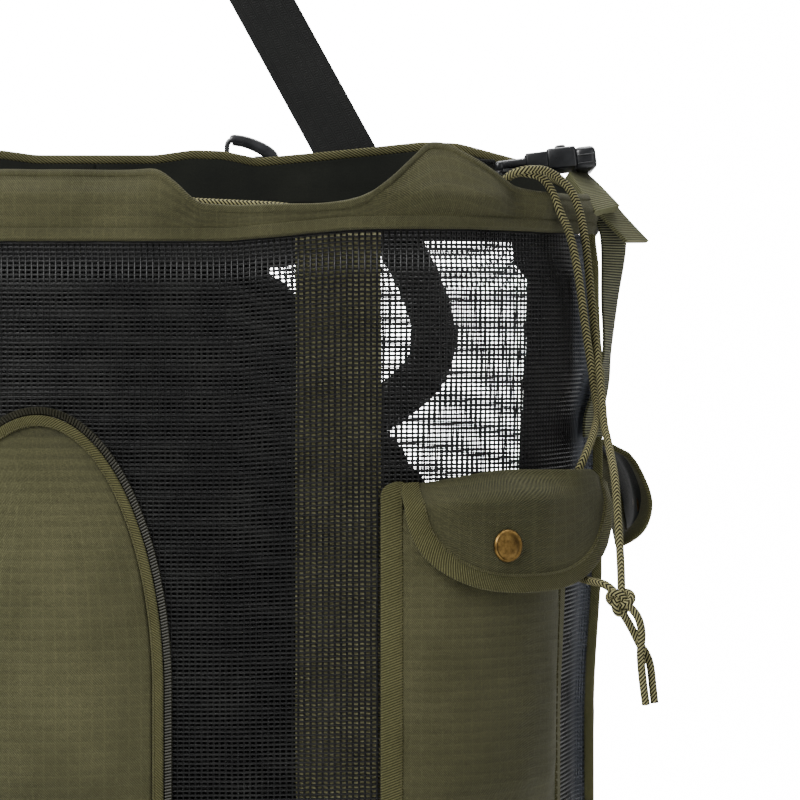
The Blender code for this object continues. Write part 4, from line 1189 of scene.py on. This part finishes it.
for vert in pad_bm.verts:
    height = vert.co.z + HANG_HEIGHT
    half = table(PAD_HALF_WIDTH, height)
    off_centre = vert.co.y - (BACK_Y + PAD_OUT)
    drawn_in = max([sewn_dent(vert.co.x - x, 0.0035) for x in CHANNELS] +
                   [sewn_dent(half - 0.010 - abs(vert.co.x), 0.0030)])
    plump = 1 + 0.25 * sin(vert.co.x * pi / 0.136) ** 2
    off_centre *= plump * (1 - 0.62 * drawn_in)
    vert.co.y = BACK_Y + PAD_OUT + max(-PAD_REACH, min(PAD_REACH, off_centre))
layer = pad_bm.loops.layers.uv.get("cloth") or pad_bm.loops.layers.uv.new("cloth")
for face in pad_bm.faces:
    for loop in face.loops:
        loop[layer].uv = (loop.vert.co.x, loop.vert.co.z)
pad = finish("padded_back", pad_bm, spacer_cloth, ["back_pad"], sharp=180)
smooth_pad = pad.modifiers.new("smooth", "SUBSURF")
smooth_pad.levels = 1
smooth_pad.render_levels = 1


# Wide strap: 31 mm charcoal webbing that the bag hangs from. Its ends lie flat on the back of the collar,
# and it turns on its way up, so that it lies flat over the hanging point.
charcoal_tape = fabric("charcoal_webbing", (0.009, 0.0095, 0.009, 1), (0.015, 0.0155, 0.0145, 1),
                       ribs(0.0011, 0.0026, 0.9), depth=0.00025, gap_shade=0.7, roughness=0.75)


def strap(name, centres, sides, width, thickness, look, slot, nodes, boxy=0.22):
    sides = [side.normalized() * width / 2 for side in sides]
    bm = band([c - s for c, s in zip(centres, sides)], [c + s for c, s in zip(centres, sides)], thickness,
              sides=20, boxy=boxy)
    return finish(name, bm, look, nodes)


STRAP_WIDTH = 0.031
rise = [(0.1390, -0.0096, 0.4300), (0.1310, -0.0085, 0.4446), (0.0660, -0.0040, 0.5634),
        (0.0180, 0.0000, 0.6520), (0.0090, 0.0000, 0.6690), (0.0000, 0.0000, 0.6849)]
hang_route = rise + [(-x, y, h) for x, y, h in reversed(rise[:-1])]


def lie(x):
    """The direction of the strap's width: across its slope near the feet, front to back over the peg."""
    sloped = Vector((copysign(0.877, x), 0, 0.480))
    return Vector((0, 1, 0)).lerp(sloped, ease((abs(x) - 0.004) / 0.060)).normalized()


centres, sides = even_points(at_height(hang_route), 150, [lie(x) for x, y, h in hang_route])
strap("wide_hang_strap", centres, sides, STRAP_WIDTH, 0.0018, charcoal_tape, "charcoal_webbing",
      ["hang_strap"])


# Shoulder straps: 23 mm charcoal webbing behind the back pad, sewn in at the rim and above the base. They
# bow out below the rim, run in over the pad and out again to the bag's lower corners.
for side, word in ((1, "right"), (-1, "left")):
    path = [(0.1440, -0.0099, 0.4230), (0.1560, -0.0085, 0.4020), (0.1720, -0.0050, 0.3720),
            (0.1795, -0.0028, 0.3450), (0.1740, -0.0026, 0.3240), (0.1560, -0.0026, 0.3080),
            (0.1300, -0.0026, 0.2900), (0.1180, -0.0026, 0.2500), (0.1280, -0.0026, 0.1900),
            (0.1600, -0.0026, 0.1200), (0.1980, -0.0026, 0.0700)]
    centres = even_points(at_height([(x * side, y, h) for x, y, h in path]), 130)
    sides = []
    for i, centre in enumerate(centres):
        along = centres[min(i + 1, len(centres) - 1)] - centres[max(i - 1, 0)]
        sides.append(Vector((along.z, 0, -along.x)))
    strap(f"shoulder_webbing_{word}", centres, sides, 0.0235, 0.0024, charcoal_tape, "charcoal_webbing",
          [f"shoulder_strap_{word}"])


# Side-release buckles: glossy black mouldings at the collar's ends, each fastened, with its tab, its strap
# down the side and the strap's free end.
moulded = bpy.data.materials.new("black_plastic")
moulded.use_nodes = True
tree = moulded.node_tree
around = add_node(tree, "TexCoord").outputs["Object"]
mark = add_node(tree, "TexNoise", {"Vector": around, "Scale": 90.0, "Detail": 6.0,
                                   "Roughness": 0.7}).outputs[0]
grain = add_node(tree, "TexNoise", {"Vector": around, "Scale": 2600.0, "Detail": 2.0}).outputs[0]
shader = tree.nodes["Principled BSDF"]
tree.links.new(mix_colours(tree, add_node(tree, "MapRange", {0: mark, 1: 0.45, 2: 0.75}).outputs[0],
                           (0.005, 0.0055, 0.0065, 1), (0.018, 0.019, 0.021, 1)), shader.inputs["Base Color"])
tree.links.new(add_node(tree, "MapRange", {0: mark, 3: 0.18, 4: 0.42}).outputs[0], shader.inputs["Roughness"])
tree.links.new(add_node(tree, "Bump", {"Strength": 0.25, "Distance": 0.0001, "Height": grain}).outputs[0],
               shader.inputs["Normal"])


def moulding(bm, size, place, edge):
    """Adds one rounded block to a moulded piece."""
    made = bmesh.ops.create_cube(bm, size=1)["verts"]
    bmesh.ops.scale(bm, verts=made, vec=size)
    edges = list({edge_of for vert in made for edge_of in vert.link_edges})
    made = bmesh.ops.bevel(bm, geom=edges, affect="EDGES", offset=edge, segments=3, profile=0.5,
                           material=-1)["verts"]
    bmesh.ops.transform(bm, matrix=place, verts=made)


olive_tape = fabric("olive_webbing", (0.088, 0.091, 0.046, 1), (0.124, 0.126, 0.068, 1),
                    ribs(0.0013, 1.0, 0.0), depth=0.0004, gap_shade=0.08, crisp=0.25)
loop_tape = fabric("olive_loop_webbing", (0.076, 0.077, 0.035, 1), (0.110, 0.109, 0.053, 1),
                   ribs(0.0013, 1.0, 0.0), depth=0.0003, gap_shade=0.40, crisp=0.20)

# The blocks of a fastened buckle: length, width, thickness, place along, across and up, rounding
buckle_blocks = [
    (0.0144, 0.0330, 0.0104, 0.0078, 0.0000, 0.0003, 0.0012),
    (0.0112, 0.0316, 0.0080, -0.0044, 0.0000, 0.0006, 0.0010),
    (0.0054, 0.0100, 0.0030, 0.0080, -0.0060, 0.0058, 0.0013),
    (0.0160, 0.0060, 0.0044, -0.0168, 0.0120, 0.0004, 0.0016),
    (0.0160, 0.0060, 0.0044, -0.0168, -0.0120, 0.0004, 0.0016),
    (0.0150, 0.0100, 0.0038, -0.0150, 0.0000, 0.0004, 0.0014),
    (0.0044, 0.0320, 0.0048, -0.0232, 0.0000, 0.0000, 0.0016),
    (0.0108, 0.0320, 0.0118, 0.0194, 0.0000, -0.0012, 0.0027),
    (0.0090, 0.0328, 0.0008, 0.0196, 0.0000, 0.0004, 0.0004),
    (0.0082, 0.0328, 0.0008, 0.0194, 0.0000, -0.0036, 0.0004),
]
for side, word in ((1, "right"), (-1, "left")):
    buckle_bm = bmesh.new()
    seat = Matrix.Translation((0.2335 * side, -0.087, 0.4282 - HANG_HEIGHT)) @ Matrix.Rotation(
        radians(-7 * side), 4, "Y")
    for length, width, thick, along, across, up, edge in buckle_blocks:
        spot = seat @ Matrix.Translation((along * side, across, up))
        moulding(buckle_bm, (length, width, thick), spot, edge)
    finish(f"side_release_{word}", buckle_bm, moulded, [f"buckle_{word}"])

    def sided(rows, side=side):
        return at_height([(x * side, y, h) for x, y, h, _ in rows]), [
            Vector((d[0] * side, d[1], d[2])).normalized() for _, _, _, d in rows]

    def buckle_strap(name, rows, count, thickness, look, slot, nodes):
        strap(name, *even_points(sided(rows)[0], count, sided(rows)[1]), 0.025, thickness, look, slot, nodes)

    tab = [(0.2085, -0.087, 0.4282, (0, 1, 0)), (0.1970, -0.084, 0.4290, (0.20, 0.98, 0)),
           (0.1890, -0.072, 0.4310, (0.75, 0.66, 0)), (0.1860, -0.048, 0.4350, (1, 0, 0)),
           (0.1860, -0.0144, 0.4390, (1, 0, 0))]
    buckle_strap(f"buckle_tab_webbing_{word}", tab, 50, 0.0015, charcoal_tape, "charcoal_webbing",
                 [f"buckle_tab_{word}"])
    down = [(0.2530, -0.0950, 0.4165, (0.45, 0.88, 0.10)), (0.2610, -0.0985, 0.4060, (0.50, 0.86, 0.12)),
            (0.2672, -0.0955, 0.3900, (0.56, 0.83, 0.05)), (0.2655, -0.0935, 0.3597, (0.38, 0.93, 0)),
            (0.2640, -0.0960, 0.3349, (0.22, 0.97, 0)), (0.2610, -0.1040, 0.3190, (0.32, 0.95, 0)),
            (0.2562, -0.1110, 0.3025, (0.42, 0.90, 0)), (0.2556, -0.1120, 0.2920, (0.42, 0.90, 0))]
    buckle_strap(f"side_webbing_{word}", down, 90, 0.0016, olive_tape, "olive_webbing", [f"side_strap_{word}"])
    sleeve = [(0.2490, -0.0900, 0.4220, (0.42, 0.90, 0.08)), (0.2530, -0.1000, 0.4155, (0.48, 0.87, 0.12)),
              (0.2572, -0.1090, 0.4085, (0.53, 0.83, 0.16)), (0.2618, -0.1140, 0.4022, (0.55, 0.81, 0.18))]
    buckle_strap(f"strap_sleeve_{word}", sleeve, 30, 0.0046, loop_tape, "olive_webbing", [])
    tail = [(0.2590, -0.1080, 0.4075, (0.52, 0.84, 0.14)), (0.2651, -0.1035, 0.4016, (0.50, 0.86, 0.10)),
            (0.2720, -0.0990, 0.3950, (0.51, 0.86, 0.08)), (0.2789, -0.0955, 0.3884, (0.52, 0.85, 0.06))]
    buckle_strap(f"strap_end_{word}", tail, 40, 0.0024, loop_tape, "olive_webbing", [f"strap_tail_{word}"])


# Snap hook: a dark plastic clip that stands at the back rim, held by a short tab of webbing. It has a thin
# gate on one side, a squared head and a thick curved arm on the other.
hook_route = [  # x, height, bar thickness
    (0.0691, 0.4360, 0.0026), (0.0691, 0.4420, 0.0026), (0.0693, 0.4462, 0.0027), (0.0704, 0.4480, 0.0028),
    (0.0714, 0.4485, 0.0030), (0.0722, 0.4487, 0.0058), (0.0777, 0.4479, 0.0062), (0.0827, 0.4463, 0.0064),
    (0.0873, 0.4442, 0.0066), (0.0910, 0.4419, 0.0067), (0.0933, 0.4392, 0.0068), (0.0942, 0.4345, 0.0058),
    (0.0900, 0.4305, 0.0052), (0.0828, 0.4292, 0.0050), (0.0752, 0.4304, 0.0040), (0.0706, 0.4330, 0.0030),
]
HOOK_Y = -0.0078
hook_points = at_height([(x, HOOK_Y, h) for x, h, _ in hook_route] * 3)
hook_bars = [Vector((bar, 0, 0)) for _, _, bar in hook_route] * 3
dense, bars = even_points(hook_points, 361, hook_bars)
dense, bars = dense[120:240], bars[120:240]
hook_out, hook_in = [], []
for i, point in enumerate(dense):
    along = dense[(i + 1) % len(dense)] - dense[i - 1]
    half_bar = along.cross(Vector((0, 1, 0))).normalized() * bars[i].x / 2
    hook_out.append(point - half_bar)
    hook_in.append(point + half_bar)
hook_bm = band(hook_out, hook_in, 0.0046, sides=12, boxy=0.6, closed=True)
head_seat = Matrix.Translation((0.0865, HOOK_Y, 0.4348 - HANG_HEIGHT))
moulding(hook_bm, (0.0056, 0.0038, 0.0104), head_seat, 0.0008)
finish("snap_hook", hook_bm, moulded, ["snap_ring"])


def tab_place(u, v):
    return wall(back_at(between(0.0730, 0.0920, u)), between(0.4180, 0.4262, v), 0.0030)


tab_bm = grid_cloth(14, 10, tab_place, lambda u, v: (0.0082 * v, 0.019 * u))
finish("snap_hook_tab", tab_bm, charcoal_tape, ["snap_ring_tab"], thickness=0.0033)


# Small brass and plastic parts: pressed brass eyelets that the drawcord runs through, one at the right
# front corner and one in the dip, and the zip's moulded slider with its pull.
eyelet = bpy.data.objects["drawcord_eyelet"]
eyelet.material_slots[0].material = brass
slider = bmesh.new()
slider_seat = Matrix.Translation(wall(-ARCH_HALF + 0.0009, 0.108, 0.0046))
moulding(slider, (0.0052, 0.0028, 0.0096), slider_seat, 0.0009)
moulding(slider, (0.0022, 0.0018, 0.0050), slider_seat @ Matrix.Translation((0, -0.0020, 0.0006)), 0.0005)
moulding(slider, (0.0046, 0.0012, 0.0150), slider_seat @ Matrix.Translation((0, -0.0027, -0.0080)), 0.0005)
finish("zip_slider", slider, moulded, ["arch_zip_slider"])
side_eyelet = bmesh.new()
ring_points = [(0.0044, 0.0000), (0.0050, 0.0008), (0.0062, 0.0009), (0.0069, 0.0002)]
verts = [side_eyelet.verts.new((radius, 0, out)) for radius, out in ring_points]
lines = [side_eyelet.edges.new(pair) for pair in zip(verts, verts[1:] + verts[:1])]
bmesh.ops.spin(side_eyelet, geom=verts + lines, cent=(0, 0, 0), axis=(0, 0, 1), angle=2 * pi, steps=32,
               use_merge=True)
bmesh.ops.recalc_face_normals(side_eyelet, faces=side_eyelet.faces)
bmesh.ops.transform(side_eyelet, matrix=Matrix.Translation((0.0640, FRONT_Y + 0.0022, 0.3988 - HANG_HEIGHT))
                    @ Matrix.Rotation(radians(65), 4, "Y"), verts=side_eyelet.verts)
finish("dip_eyelet", side_eyelet, brass)


# Stitching: olive thread in short raised stitches along the collar's seam, the pockets' and flaps' bindings
# and the arched pocket's binding. Each stitch is a small block laid along the cloth's face.
thread_look = fabric("sewing_thread", (0.055, 0.052, 0.024, 1), (0.080, 0.076, 0.036, 1), ribs(0.0006),
                     depth=0.0001)
STITCH = 0.0026
STITCH_PITCH = 0.0036


def sew(name, line):
    """A row of stitches along points that lie on the cloth's face."""
    bm = bmesh.new()
    reach = length_of(line)
    spots = even_points(line, max(int(reach / STITCH_PITCH), 2))
    for i in range(len(spots) - 1):
        along = (spots[i + 1] - spots[i]).normalized()
        side = along.cross(Vector((0, 0, 1)) if abs(along.z) < 0.9 else Vector((1, 0, 0))).normalized()
        turn = Matrix((along, side, along.cross(side))).transposed().to_4x4()
        made = bmesh.ops.create_cube(bm, size=1)["verts"]
        bmesh.ops.transform(bm, verts=made, matrix=Matrix.Translation((spots[i] + spots[i + 1]) / 2) @ turn
                            @ Matrix.Diagonal((STITCH, 0.00055, 0.00055, 1)))
    bm.loops.layers.uv.new("cloth")
    return finish(name, bm, thread_look)


collar_seam = [wall(s, seam_height(s) + 0.0042, collar_fold(s, seam_height(s) + 0.0042, 0.15) + 0.0012)
               for s in steps(-0.30, 0.30, 200)]
sew("collar_stitches", collar_seam)
for kind, lines in pocket_seams.items():
    for i, line in enumerate(lines):
        sew(f"{kind}_stitches_{i + 1}", line)
sew("arch_stitches", [point + Vector((0, -0.0014, 0)) for point in arch_line(0.0080, 0.0026)])
